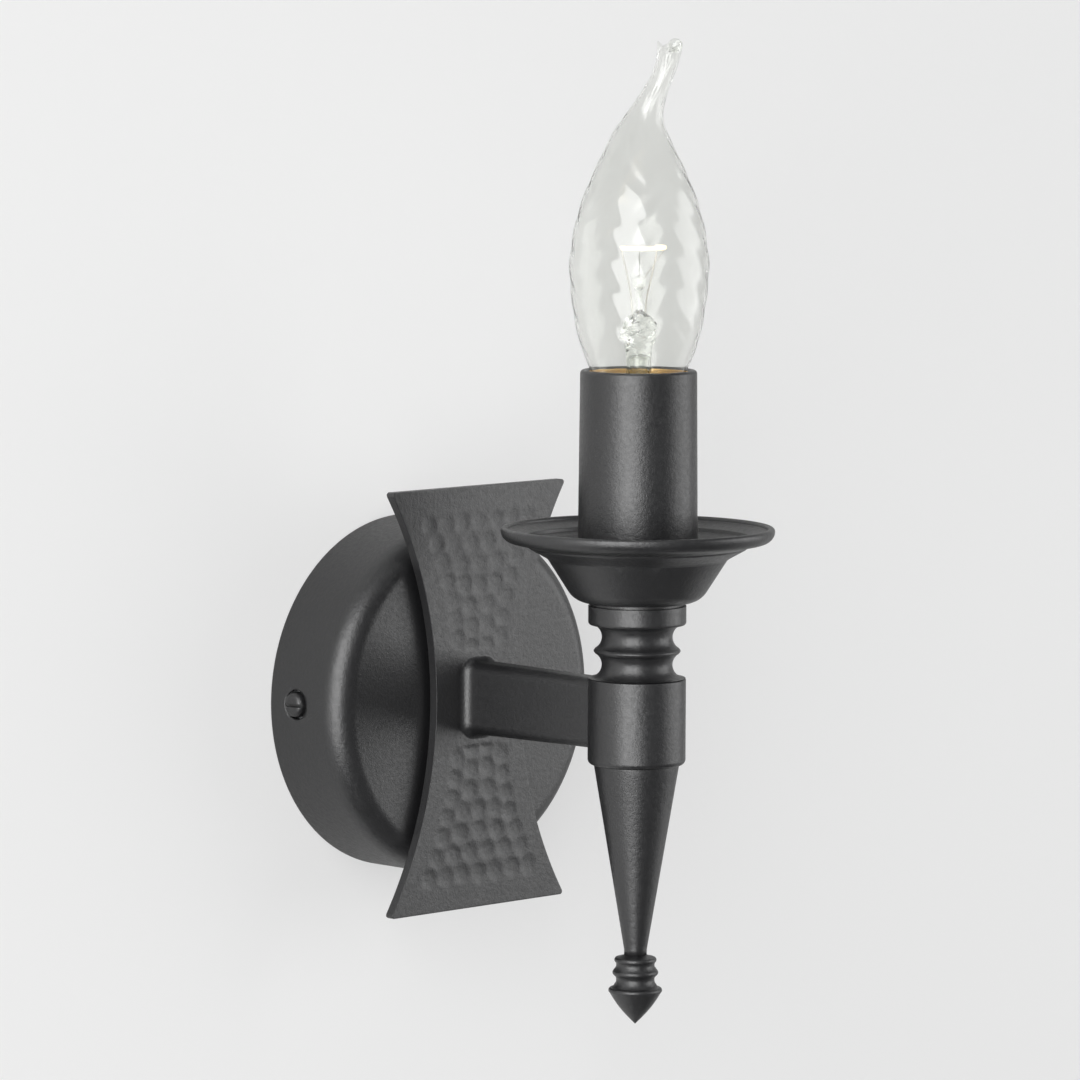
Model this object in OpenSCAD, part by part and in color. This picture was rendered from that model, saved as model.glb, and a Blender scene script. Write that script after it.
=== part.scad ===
// Torch wall sconce: a round canopy, a hammered bow-tie plate, one arm and a turned torch
// with a drip cup, a candle sleeve and a clear flame-tip lamp.
// The wall is the plane y = 0, the light stands out towards -Y, +Z is up, in millimetres.
// The origin is the middle of the wall bracket, on the wall.

/* [Canopy] */
// Outer diameter of the canopy
canopy_d = 91.5; // [86:0.5:104]
// Depth of the canopy, from the wall to its face
canopy_depth = 25.3; // [24:0.1:32]
// Thickness of the canopy sheet
canopy_wall = 1; // [0.8:0.1:1.4]
// Outer radius between the face and the side of the canopy
canopy_round = 6.3; // [3:0.1:8]
// How far the canopy hangs below the fixing screws, in its side holes
canopy_drop = 0.6; // [0:0.1:0.6]
// Diameter of the two side holes of the canopy
side_hole_d = 7.2; // [7.2:0.1:8]

/* [Wall bracket] */
// Width of the bracket strip
bracket_w = 16; // [15:0.5:20]
// Thickness of the bracket strip
bracket_t = 1.5; // [1:0.1:2]
// How far the bracket ears stand out from the wall
ear_out = 14; // [13:0.5:16]
// Distance between the middles of the two wall slots
slot_spacing = 60; // [52:1:64]
// Width of a wall slot
slot_w = 4.6; // [4:0.1:6]
// Length of a wall slot from end to end
slot_len = 9; // [8:0.5:12]
// Distance of the side screws from the wall
side_screw_out = 9.1; // [8:0.1:10]
// Thread diameter of the side screws
side_screw_d = 4; // [3:0.5:4]
// Head diameter of the side screws
side_head_d = 6.4; // [5:0.1:6.6]
// Length of the side screws under their heads
side_screw_len = 8; // [6:0.5:10]

/* [Bow-tie plate] */
// Height of the plate
plate_h = 108.6; // [100:0.2:120]
// Width of the plate at its top and bottom ends
plate_end_w = 62; // [52:0.2:70]
// Width of the plate at its waist
plate_waist_w = 30; // [27:0.2:34]
// Thickness of the plate
plate_t = 2.5; // [2:0.1:3]
// Diameter of the spacer between canopy and plate
spacer_d = 24; // [22:0.5:27]
// Thickness of the spacer between canopy and plate
spacer_t = 1.3; // [1:0.1:2]
// Distance between neighbouring hammer marks
mark_pitch = 5.85; // [5.6:0.05:7]
// Width of one hammer mark
mark_d = 5.2; // [3.8:0.1:5.4]
// Depth of one hammer mark
mark_depth = 0.4; // [0.2:0.05:0.6]
// Distance from the curved side of the plate to the outer marks
mark_margin = 8.2; // [7:0.1:9]
// Distance between the first rows of marks and the middle of the plate
mark_start = 12.6; // [12.4:0.1:14]
// Distance between neighbouring rows of marks
row_step = 5.45; // [5.3:0.05:5.8]
// How far the ends of the row nearest the arm are bent away from it
mark_bow = 2.8; // [0:0.1:3]
// Rows of marks above the arm
rows_above = 7; // [4:1:7]
// Rows of marks below the arm
rows_below = 7; // [4:1:7]

/* [Arm] */
// Distance of the torch axis from the wall
reach = 85.6; // [80:0.2:110]
// Width of the arm at the plate
arm_w_root = 9.6; // [9:0.1:11]
// Height of the arm at the plate
arm_h_root = 18.7; // [18.4:0.1:20]
// Width of the arm at the collar
arm_w_end = 8.6; // [8.4:0.1:10]
// Height of the arm at the collar
arm_h_end = 17.8; // [15:0.1:18.4]
// Radius of the long edges of the arm
arm_edge_r = 3; // [1.5:0.1:3.8]
// Radius of the fillet between arm and plate
arm_root_r = 1.6; // [0.8:0.1:2.2]
// Diameter of the lead passage through the arm
lead_bore_d = 6.4; // [6.2:0.1:6.6]
// Thread diameter of the two arm screws
arm_screw_d = 4; // [3:0.5:4]
// Distance between the two arm screws
arm_screw_gap = 13; // [12.8:0.1:13.4]
// Head diameter of the arm screws
arm_head_d = 6.4; // [5.5:0.1:6.6]
// Depth of the screws in the arm
arm_screw_in = 9; // [6:0.5:14]

/* [Collar and turned neck] */
// Diameter of the collar and of the neck's top disc
collar_d = 24.5; // [23:0.1:28]
// Height of the collar's top edge above the arm axis
collar_up = 9.85; // [9.6:0.05:12]
// Depth of the collar's bottom edge below the arm axis
collar_down = 11.8; // [10.5:0.1:14]
// Diameter of the cavity inside the collar
cavity_d = 16; // [14:0.5:17]
// Thickness of the tapped web at the top of the collar
web_t = 6; // [4:0.1:6.2]
// Height of the turned neck
neck_h = 18.35; // [18:0.05:22]
// Diameter at the bottom of the neck's two coves
cove_min_d = 17.7; // [16:0.1:19]
// Radius of the coves
cove_r = 3.3; // [2.8:0.1:3.4]
// Diameter of the sharp bead between the coves
bead_d = 21.7; // [20.6:0.1:22.4]
// Height of the plain disc at the top of the neck
disc_h = 4.9; // [3:0.1:7]

/* [Cone and finial] */
// Length of the cone below the collar
cone_h = 46.8; // [36:0.2:60]
// Diameter of the cone under the collar
cone_top_d = 21.4; // [19:0.1:22]
// Diameter of the cone's lower end
cone_end_d = 5.7; // [5:0.1:7]
// Diameter of the finial's top ring
ring_d = 10.6; // [9:0.1:12]
// Diameter of the finial's widest ring
point_d = 13.5; // [12.4:0.1:15]
// Height of the finial's point below its widest ring
point_h = 8.1; // [6:0.1:11]

/* [Drip cup] */
// Diameter over the rim of the cup
cup_d = 68.4; // [64:0.2:80]
// Height of the cup from its foot to its rim
cup_h = 18.85; // [18:0.05:24]
// Thickness of the cup wall
cup_wall = 1.2; // [1:0.1:1.5]
// Diameter of the bowl under the rim
bowl_d = 44.8; // [42:0.2:46]
// Radius between the floor and the wall of the bowl
bowl_round = 6; // [4:0.1:6.5]
// Diameter of the step inside the rim
step_d = 56.6; // [54:0.2:58]
// Thickness of the washer under the cup
cup_washer_t = 0.75; // [0.5:0.05:1.5]
// Diameter of the washer under the cup
cup_washer_d = 23.2; // [18:0.1:24]

/* [Candle sleeve] */
// Length of the candle sleeve
sleeve_h = 56; // [53:0.1:60]
// Outer diameter of the sleeve at its foot
sleeve_foot_d = 29.8; // [29.4:0.1:31]
// Outer diameter of the sleeve at its mouth
sleeve_top_d = 28.8; // [28.7:0.1:29.4]
// Thickness of the sleeve wall
sleeve_wall = 1; // [0.7:0.05:1.1]
// Diameter inside the lip at the mouth of the sleeve
mouth_d = 25.2; // [24.8:0.1:26.4]

/* [Lampholder] */
// Thread diameter of the centre tube
tube_d = 10; // [9:0.5:10]
// Bore of the centre tube
tube_bore_d = 7.8; // [7:0.1:8]
// Thickness of the lock nut
nut_t = 2.25; // [2:0.05:3]
// Size of the lock nut across its flats
nut_af = 14; // [13:0.5:16]
// Diameter of the lampholder's base
base_d = 22; // [20:0.5:24]
// Height of the lampholder's base
base_h = 14; // [13.6:0.1:15]
// Outer diameter of the lampholder's barrel
barrel_d = 24.4; // [23:0.1:25]
// Height of the lampholder's barrel
barrel_h = 29; // [28:0.1:30]
// Outer diameter over the barrel's ribs
rib_d = 26.2; // [25.2:0.1:26.4]
// Number of ribs on the barrel
rib_count = 8; // [4:1:12]

/* [Lamp] */
// Diameter over the thread of the lamp cap
cap_d = 13.9; // [13.6:0.05:13.9]
// Thread pitch of the lamp cap
cap_pitch = 2.82; // [2.6:0.02:3]
// Largest diameter of the glass
glass_d = 34.9; // [33:0.1:38]
// Length of the glass from the cap to the tip
glass_h = 99.9; // [92:0.1:106]
// Wall of the glass
glass_wall = 0.8; // [0.6:0.05:1.2]
// Number of swirled flutes in the glass
flute_count = 12; // [8:1:14]
// Depth of the flutes
flute_depth = 0.35; // [0:0.05:0.5]
// Turn of the flutes from the neck to the tip, in degrees
flute_turn = 375; // [0:15:450]
// How far the tip leans to the side
tip_lean = 7.2; // [0:0.2:9]

/* [Leads and terminals] */
// Diameter of an insulated lead
lead_d = 2.2; // [1.8:0.1:2.3]
// Distance between the two poles of the terminal block
pole_gap = 11; // [10.7:0.1:12]
// Length of the terminal block
block_len = 15; // [14:0.5:16]

/* [Hidden] */
$fn = 96;

graphite = [0.23, 0.23, 0.24];
steel = [0.72, 0.73, 0.75];
brass = [0.80, 0.66, 0.34];
phenolic = [0.12, 0.11, 0.11];
natural = [0.90, 0.89, 0.84];
clear = [0.86, 0.92, 0.90, 0.35];
copper_brown = [0.45, 0.24, 0.12];
sky_blue = [0.20, 0.42, 0.72];
earth_green = [0.45, 0.68, 0.18];

cut = 0.5;            // how far a cutter runs past the face that it opens
thread_gap = 0.05;    // radial gap between a thread and its hole
slack = 0.3;          // gap between the lamp and what it rests on
seat_gap = 0.02;      // gap under a piece that stands on a rounding

// Distances from the wall
face_y = -canopy_depth;
plate_back_y = face_y - spacer_t;
plate_front_y = plate_back_y - plate_t;
inner_face_y = face_y + canopy_wall;
collar_r = collar_d / 2;

// Heights along the torch
neck_z = collar_up;
washer_z = neck_z + neck_h;
cup_z = washer_z + cup_washer_t;
floor_z = cup_z + cup_wall;
base_z = floor_z + nut_t;
barrel_z = base_z + base_h;
contact_z = barrel_z + 0.7 + slack;
cap_z = contact_z + 4;
cap_h = 21;
glass_z = cap_z + cap_h - 2.9;
// The bowl is a flat floor, a rounding and a straight slope up to wall_top_z
slope = 57.4;
wall_top_z = 10.74;
flat_r = bowl_d / 2 - bowl_round * cos(slope - 90)
    - (wall_top_z - bowl_round * (1 + sin(slope - 90))) / tan(slope);
seat_round = bowl_round - cup_wall;
seat_over = max(0, sleeve_foot_d / 2 - flat_r);
sleeve_z = floor_z + seat_round - sqrt(pow(seat_round, 2) - pow(seat_over, 2)) + seat_gap;
tube_r = tube_d / 2;
tube_hole_r = tube_r + thread_gap;
tube_low_z = collar_up - web_t - 1.2;
tube_top_z = base_z + 3.1;

// Half width of the plate at height z, a circular arc that is narrowest at the waist
plate_sag = (plate_end_w - plate_waist_w) / 2;
plate_arc_r = (pow(plate_h / 2, 2) + pow(plate_sag, 2)) / (2 * plate_sag);
function plate_half(z) = plate_waist_w / 2 + plate_arc_r - sqrt(pow(plate_arc_r, 2) - z * z);

// Points of an arc in the plane, from angle a0 to a1 in n steps
function arc(x, y, r, a0, a1, n) =
    [for (i = [0:n]) let (a = a0 + (a1 - a0) * i / n) [x + r * cos(a), y + r * sin(a)]];

// Value of a table of [place, value] pairs at place p, eased between its entries
function ease(t) = t * t * (3 - 2 * t);

module torch() {
    translate([0, -reach, 0]) children();
}

// Solid between closed rings of points, all with the same number of points
module loft(rings) {
    n = len(rings[0]);
    m = len(rings);
    points = [for (ring = rings) for (p = ring) p];
    sides = [for (j = [0:m - 2]) for (i = [0:n - 1])
        let (a = j * n + i, b = j * n + (i + 1) % n)
        for (f = [[a, b, b + n], [a, b + n, a + n]]) f];
    first = [[for (i = [n - 1:-1:0]) i]];
    last = [[for (i = [0:n - 1]) (m - 1) * n + i]];
    polyhedron(points = points, faces = concat(sides, first, last), convexity = 8);
}

// Round tube along a route, for leads that turn mostly in upright planes
function unit(v) = v / norm(v);
function lead_ring(p, t, r, n) =
    let (u = unit(cross(t, [1, 0, 0])), v = cross(t, u))
    [for (i = [0:n - 1]) p + r * cos(-360 * i / n) * u + r * sin(-360 * i / n) * v];
module lead(route, r) {
    m = len(route);
    loft([for (i = [0:m - 1])
        let (t = unit(route[min(i + 1, m - 1)] - route[max(i - 1, 0)]))
        lead_ring(route[i], t, r, 8)]);
}

// ---- wall side ----

// The bracket's corners just clear the inside of the canopy
ear_x = sqrt(pow(canopy_d / 2 - canopy_wall, 2) - pow(bracket_w / 2 + canopy_drop, 2)) - 0.1;

module wall_bracket() {
    color(steel)
    difference() {
        union() {
            translate([-ear_x, -bracket_t, -bracket_w / 2])
                cube([2 * ear_x, bracket_t, bracket_w]);
            for (s = [-1, 1])
                translate([s * (ear_x - bracket_t / 2), -ear_out / 2, 0])
                    cube([bracket_t, ear_out, bracket_w - 4], center = true);
        }
        for (s = [-1, 1])
            translate([s * slot_spacing / 2, 0, 0])
                wall_slot();
        rotate([0, 90, 0])
            translate([0, -side_screw_out, -ear_x - cut])
                cylinder(d = side_screw_d + 2 * thread_gap, h = 2 * (ear_x + cut));
        for (x = [0, -earth_x])
            translate([x, cut, 0])
                rotate([90, 0, 0])
                    cylinder(d = small_screw_d + 2 * thread_gap, h = bracket_t + 2 * cut);
    }
}

module wall_slot() {
    run = slot_len - slot_w;
    for (s = [-1, 1])
        translate([s * run / 2, cut, 0])
            rotate([90, 0, 0])
                cylinder(d = slot_w, h = bracket_t + 2 * cut);
    translate([-run / 2, -bracket_t - cut, -slot_w / 2])
        cube([run, bracket_t + 2 * cut, slot_w]);
}

module canopy() {
    outer_r = canopy_d / 2;
    inner_r = outer_r - canopy_wall;
    inner_round = canopy_round - canopy_wall;
    color(graphite)
    difference() {
        translate([0, 0, -canopy_drop])
            rotate([90, 0, 0])
                rotate_extrude($fn = 160)
                    polygon(concat(
                        [[0, canopy_depth - canopy_wall]],
                        arc(inner_r - inner_round, canopy_depth - canopy_round, inner_round, 90, 0, 8),
                        [[inner_r, 0], [outer_r, 0]],
                        arc(outer_r - canopy_round, canopy_depth - canopy_round, canopy_round, 0, 90, 10),
                        [[0, canopy_depth]]));
        rotate([0, 90, 0])
            translate([0, -side_screw_out, -outer_r - cut])
                cylinder(d = side_hole_d, h = 2 * (outer_r + cut));
        arm_fixing_holes(face_y - cut, canopy_wall + 2 * cut);
    }
}

// Lead hole and two screw holes behind the arm, starting at y and running towards the wall
module arm_fixing_holes(y, depth) {
    translate([0, y, 0])
        rotate([-90, 0, 0])
            cylinder(d = lead_bore_d, h = depth);
    for (s = [-1, 1])
        translate([0, y, s * arm_screw_gap / 2])
            rotate([-90, 0, 0])
                cylinder(d = arm_screw_d + 2 * thread_gap, h = depth);
}

module side_screws() {
    head_h = 3.2;
    slot = 0.9;
    color(graphite)
    for (s = [0, 1])
        mirror([s, 0, 0])
            translate([ear_x, -side_screw_out, 0])
                rotate([0, 90, 0])
                    difference() {
                        union() {
                            translate([0, 0, -side_screw_len])
                                cylinder(d = side_screw_d, h = side_screw_len);
                            rotate_extrude()
                                polygon(concat([[0, 0], [side_head_d / 2, 0]],
                                    arc(side_head_d / 2 - 1.5, head_h - 1.5, 1.5, 0, 90, 6),
                                    [[0, head_h]]));
                        }
                        translate([-slot / 2, -side_head_d, head_h - 1.1])
                            cube([slot, 2 * side_head_d, 2]);
                    }
}

// ---- plate ----

module plate_spacer() {
    color(phenolic)
    difference() {
        translate([0, face_y, 0])
            rotate([90, 0, 0])
                cylinder(d = spacer_d, h = spacer_t);
        arm_fixing_holes(plate_back_y - cut, spacer_t + 2 * cut);
    }
}

// Outline of the plate: straight ends, curved sides and small round corners
module plate_outline() {
    half = plate_h / 2;
    corner = 1.1;
    side = [for (i = [0:24]) let (z = -half + corner + (plate_h - 2 * corner) * i / 24)
        [plate_half(z), z]];
    polygon(concat(
        [[plate_half(half) - corner * 1.6, -half]],
        [[plate_half(half) - corner * 0.75, -half + corner * 0.3]],
        side,
        [[plate_half(half) - corner * 0.75, half - corner * 0.3]],
        [[plate_half(half) - corner * 1.6, half]],
        [[-plate_half(half) + corner * 1.6, half]],
        [[-plate_half(half) + corner * 0.75, half - corner * 0.3]],
        [for (i = [24:-1:0]) [-side[i][0], side[i][1]]],
        [[-plate_half(half) + corner * 0.75, -half + corner * 0.3]],
        [[-plate_half(half) + corner * 1.6, -half]]));
}

// Places of the hammer marks: rows that follow the flare, as many marks as each row holds.
// The rows nearest the arm curl round it, and the farthest row is straight
function row_marks(k, side) =
    let (z = mark_start + k * row_step, half = plate_half(z) - mark_margin,
        n = max(2, round(2 * half / mark_pitch)), bow = mark_bow * (1 - k / 6))
    [for (i = [0:n]) let (t = 2 * i / n - 1) [half * t, side * (z + bow * t * t)]];
marks = concat([for (k = [0:rows_above - 1]) each row_marks(k, 1)],
    [for (k = [0:rows_below - 1]) each row_marks(k, -1)]);

module hammered_plate() {
    ball_r = (pow(mark_d / 2, 2) + pow(mark_depth, 2)) / (2 * mark_depth);
    color(graphite)
    difference() {
        translate([0, plate_back_y, 0])
            rotate([90, 0, 0])
                linear_extrude(plate_t)
                    plate_outline();
        for (m = marks)
            translate([m[0], plate_front_y - ball_r + mark_depth, m[1]])
                sphere(r = ball_r, $fn = 40);
        arm_fixing_holes(plate_front_y - cut, plate_t + 2 * cut);
    }
}

// ---- arm ----

// Rounded rectangle in the plane across the arm, w wide and h high, at distance y
function arm_ring(y, w, h, r) =
    [for (c = [[1, 1, 90], [1, -1, 0], [-1, -1, 270], [-1, 1, 180]])
        for (i = [0:6]) let (a = c[2] - 15 * i)
            [c[0] * (w / 2 - r) + r * cos(a), y, c[1] * (h / 2 - r) + r * sin(a)]];

module arm() {
    far_y = -reach + collar_r / 2;
    run = plate_front_y - far_y;
    shape = function (y, extra) let (t = (plate_front_y - y) / run)
        arm_ring(y, arm_w_root + (arm_w_end - arm_w_root) * t + 2 * extra,
            arm_h_root + (arm_h_end - arm_h_root) * t + 2 * extra, arm_edge_r + extra);
    root = [for (i = [0:5]) let (a = 18 * i)
        shape(plate_front_y - arm_root_r * (1 - cos(a)), arm_root_r * (1 - sin(a)))];
    color(graphite)
    difference() {
        loft(concat(root, [shape(far_y, 0)]));
        torch()
            translate([0, 0, -collar_d])
                cylinder(r = collar_r + 0.01, h = 2 * collar_d);
        translate([0, -reach, 0])
            rotate([-90, 0, 0])
                cylinder(d = lead_bore_d, h = reach);
        for (s = [-1, 1])
            translate([0, plate_front_y - arm_screw_in - 1, s * arm_screw_gap / 2])
                rotate([-90, 0, 0])
                    cylinder(d = arm_screw_d + 2 * thread_gap, h = arm_screw_in + 3);
    }
}

module arm_screws() {
    head_h = 2.2;
    slot = 1;
    under = inner_face_y - plate_front_y + arm_screw_in;
    color(steel)
    for (s = [-1, 1])
        translate([0, inner_face_y, s * arm_screw_gap / 2])
            rotate([-90, 0, 0])
                difference() {
                    union() {
                        translate([0, 0, -under])
                            cylinder(d = arm_screw_d, h = under);
                        cylinder(d = arm_head_d, h = head_h);
                    }
                    translate([-arm_head_d, -slot / 2, head_h - 1])
                        cube([2 * arm_head_d, slot, 2]);
                }
}

// ---- torch, from the point upwards ----

module collar() {
    top_edge = 0.4;
    foot = 1.4;
    color(graphite)
    torch()
        difference() {
            rotate_extrude()
                polygon(concat(
                    [[tube_hole_r, collar_up], [collar_r - top_edge, collar_up],
                     [collar_r, collar_up - top_edge]],
                    arc(collar_r - foot, -collar_down + foot, foot, 0, -70, 5),
                    [[cavity_d / 2, -collar_down],
                     [cavity_d / 2, collar_up - web_t],
                     [tube_hole_r, collar_up - web_t]]));
            rotate([-90, 0, 0])
                cylinder(d = lead_bore_d, h = collar_d);
        }
}

module cone() {
    spigot_h = 6;
    hole_r = 1.5 + thread_gap;
    neck = 1.3;
    top = -collar_down;
    end = top - cone_h - neck;
    color(graphite)
    torch()
        rotate_extrude()
            polygon([[0, top + spigot_h], [cavity_d / 2 - thread_gap, top + spigot_h],
                     [cavity_d / 2 - thread_gap, top], [cone_top_d / 2, top],
                     [cone_end_d / 2, top - cone_h], [cone_end_d / 2, end],
                     [hole_r, end], [hole_r, end + 7], [0, end + 7]]);
}

finial_z = -collar_down - cone_h - 1.3;

module finial() {
    ring_r = ring_d / 2;
    point_r = point_d / 2;
    dip = 0.45;
    color(graphite)
    torch()
        translate([0, 0, finial_z])
            rotate_extrude()
                polygon(concat(
                    [[0, 6.5], [1.5, 6.5], [1.5, 0], [cone_end_d / 2, 0], [cone_end_d / 2 + 0.8, -0.5]],
                    arc(ring_r - 0.7, -1.3, 0.7, 70, -50, 6),
                    [[ring_r - dip, -2.15], [ring_r - dip, -3]],
                    arc(ring_r - 0.35, -4.5, 0.8, 50, -50, 6),
                    [[ring_r - dip, -5.75], [ring_r - dip, -6.9], [ring_r + 0.3, -8.05]],
                    arc(point_r - 0.7, -9, 0.7, 90, -30, 6),
                    [for (i = [0:7]) let (t = i / 7)
                        [(point_r - 0.25) * (1 - t) + 0.55 * sin(180 * t), -9.5 - point_h * t]]));
}

module turned_neck() {
    cove_x = cove_min_d / 2 + cove_r;
    low = neck_z + 0.15 + cove_r;
    high = washer_z - disc_h - cove_r + 0.25;
    middle = (low + high) / 2;
    corner = 0.8;
    color(graphite)
    torch()
        rotate_extrude()
            polygon(concat(
                [[tube_hole_r, neck_z], [collar_r - 0.4, neck_z]],
                arc(cove_x, low, cove_r, 270, 120, 14),
                [[bead_d / 2, middle - 0.15], [bead_d / 2, middle + 0.15]],
                arc(cove_x, high, cove_r, 240, 113, 12),
                [[collar_r - corner, washer_z - disc_h]],
                arc(collar_r - corner, washer_z - disc_h + corner, corner, -60, 0, 4),
                [[collar_r, washer_z - 0.3], [collar_r - 0.3, washer_z], [tube_hole_r, washer_z]]));
}

module centre_tube() {
    color(brass)
    torch()
        translate([0, 0, tube_low_z])
            difference() {
                cylinder(r = tube_r, h = tube_top_z - tube_low_z);
                translate([0, 0, -cut])
                    cylinder(d = tube_bore_d, h = tube_top_z - tube_low_z + 2 * cut);
            }
}

module cup_washer() {
    color(graphite)
    torch()
        translate([0, 0, washer_z])
            difference() {
                cylinder(d = cup_washer_d, h = cup_washer_t);
                translate([0, 0, -cut])
                    cylinder(r = tube_hole_r, h = cup_washer_t + 2 * cut);
            }
}

// Cup: flat floor, sloping bowl, stepped flange and a thick rolled rim
module drip_cup() {
    rim_r = cup_d / 2;
    rim_z = cup_h - 0.9;
    lip = 0.9;
    roll = 2.9;
    w = cup_wall;
    wall_top_r = bowl_d / 2;
    ledge_r = step_d / 2 - 0.8;
    color(graphite)
    torch()
        translate([0, 0, cup_z])
            rotate_extrude($fn = 128)
                polygon(concat(
                    [[tube_hole_r, 0]],
                    arc(flat_r, bowl_round, bowl_round, -90, slope - 90, 6),
                    [[wall_top_r, wall_top_z], [wall_top_r + 0.7, wall_top_z + 0.55],
                     [ledge_r - 0.3, rim_z - 4.4], [ledge_r + 0.1, rim_z - 3.9]],
                    arc(rim_r - roll, rim_z, roll, -90, 0, 7),
                    arc(rim_r - lip, rim_z, lip, 20, 180, 7),
                    [[rim_r - 2 * lip - 0.5, rim_z - 0.35], [step_d / 2 + 0.2, rim_z - 1.6],
                     [step_d / 2 - 0.1, rim_z - 2.5], [ledge_r - 1, rim_z - 3.3],
                     [wall_top_r + 2.2, wall_top_z + 2.6], [wall_top_r - w * 0.84, wall_top_z + w * 0.54]],
                    arc(flat_r, bowl_round, bowl_round - w, slope - 90, -90, 5),
                    [[tube_hole_r, w]]));
}

module lock_nut() {
    color(steel)
    torch()
        translate([0, 0, floor_z])
            difference() {
                cylinder(d = nut_af / cos(30), h = nut_t, $fn = 6);
                translate([0, 0, -cut])
                    cylinder(r = tube_hole_r, h = nut_t + 2 * cut);
            }
}

// Tube that stands on the rounding of the bowl, with a thick rounded lip at its mouth
module candle_sleeve() {
    foot_r = sleeve_foot_d / 2;
    top_r = sleeve_top_d / 2;
    mouth_r = mouth_d / 2;
    edge = (top_r - mouth_r) * 0.45;
    lip_h = 2 * edge + 0.6;
    color(graphite)
    torch()
        translate([0, 0, sleeve_z])
            rotate_extrude()
                polygon(concat(
                    [[foot_r - sleeve_wall, 0], [foot_r - 0.2, 0], [foot_r, 0.2]],
                    arc(top_r - edge, sleeve_h - edge, edge, 0, 90, 5),
                    arc(mouth_r + edge, sleeve_h - edge, edge, 90, 180, 5),
                    [[mouth_r, sleeve_h - lip_h],
                     [top_r - sleeve_wall, sleeve_h - lip_h - 0.8]]));
}

// ---- lampholder ----

terminal_x = 4.6;
terminal_w = 3;
terminal_h = 4.2;
holder_screw_d = 2.5;
cell_z = base_z + 3.6;                   // floor of the wiring space
cell_top_z = barrel_z - 3;
holder_screw_z = cell_top_z - terminal_h / 2;

module holder_base() {
    cell_r = 7.8;
    color(phenolic)
    torch()
        difference() {
            rotate_extrude()
                polygon([[tube_hole_r, base_z], [base_d / 2 - 1, base_z], [base_d / 2, base_z + 1],
                         [base_d / 2, barrel_z], [1.45, barrel_z], [1.45, cell_top_z],
                         [cell_r, cell_top_z], [cell_r, cell_z], [tube_hole_r, cell_z]]);
            translate([-base_d, 0, holder_screw_z])
                rotate([0, 90, 0])
                    cylinder(d = holder_screw_d + 1, h = 2 * base_d);
        }
}

module holder_barrel() {
    bore_r = shell_r + thread_gap;
    wide_r = 9.4;
    wide_z = barrel_z + 20;
    top_z = barrel_z + barrel_h;
    color(phenolic)
    torch()
        difference() {
            union() {
                translate([0, 0, barrel_z])
                    cylinder(d = barrel_d, h = barrel_h);
                for (i = [0:rib_count - 1])
                    rotate(360 * i / rib_count)
                        translate([barrel_d / 2 - 1, -0.6, barrel_z + 5])
                            cube([rib_d / 2 - barrel_d / 2 + 1, 1.2, barrel_h - 8]);
            }
            translate([0, 0, barrel_z - cut])
                cylinder(r = bore_r, h = barrel_h + 2 * cut);
            translate([0, 0, wide_z])
                cylinder(r = wide_r, h = top_z - wide_z + cut);
        }
}

shell_r = cap_d / 2 + 0.1 + 0.45;

module holder_shell() {
    color(brass)
    torch()
        translate([0, 0, barrel_z + 2])
            difference() {
                cylinder(r = shell_r, h = 17.6);
                translate([0, 0, -cut])
                    cylinder(r = cap_d / 2 + 0.1, h = 17.6 + 2 * cut);
            }
}

module holder_contact() {
    color(brass)
    torch()
        rotate_extrude()
            polygon([[0, cell_top_z - 1.2], [2.2, cell_top_z - 1.2], [2.2, cell_top_z],
                     [1.4, cell_top_z], [1.4, barrel_z], [3.4, barrel_z],
                     [3.1, contact_z - slack], [0, contact_z - slack]]);
}

module holder_terminals() {
    color(brass)
    torch()
        for (s = [-1, 1])
            difference() {
                translate([s * terminal_x - terminal_w / 2, -2.2, cell_top_z - terminal_h])
                    cube([terminal_w, 4.4, terminal_h]);
                translate([s * terminal_x, 0, holder_screw_z])
                    rotate([0, 90, 0])
                        cylinder(d = holder_screw_d + 2 * thread_gap, h = 2 * terminal_w, center = true);
            }
}

module holder_screws() {
    screw_end = base_d / 2 - 1.2;
    color(steel)
    torch()
        for (s = [0, 1])
            mirror([s, 0, 0])
                difference() {
                    translate([terminal_x - 0.8, 0, holder_screw_z])
                        rotate([0, 90, 0])
                            cylinder(d = holder_screw_d, h = screw_end - terminal_x + 0.8);
                    translate([screw_end - 0.7, -holder_screw_d, holder_screw_z - 0.3])
                        cube([2, 2 * holder_screw_d, 0.6]);
                }
}

// ---- lamp ----

// Radius of the plain glass along its length, from 0 at the cap to 1 at the tip
glass_form = [[0, 0.385], [0.03, 0.436], [0.065, 0.47], [0.115, 0.55], [0.175, 0.695],
    [0.23, 0.82], [0.26, 0.87], [0.32, 0.94], [0.38, 0.98], [0.43, 1], [0.51, 0.95],
    [0.6, 0.815], [0.66, 0.675], [0.71, 0.54], [0.76, 0.4], [0.81, 0.272], [0.85, 0.212],
    [0.9, 0.168], [0.94, 0.162], [0.965, 0.178], [0.985, 0.165], [1, 0.08]];
function form_at(t, k = 0) =
    k >= len(glass_form) - 2 || t <= glass_form[k + 1][0]
        ? let (p = glass_form[k], q = glass_form[k + 1])
            p[1] + (q[1] - p[1]) * (t - p[0]) / (q[0] - p[0])
        : form_at(t, k + 1);
// The tip leans over towards +X and -Y above three quarters of the height
lean_dir = [0.71, -0.70, 0];
function lean_at(t) = t < 0.755 ? 0 : tip_lean * ease(min(1, (t - 0.755) / 0.22));
// Flutes are deepest at the belly and fade at the neck and at the tip
function flute_at(t) = flute_depth * sin(180 * min(1, max(0, (t - 0.08) / 0.8)));

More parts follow.
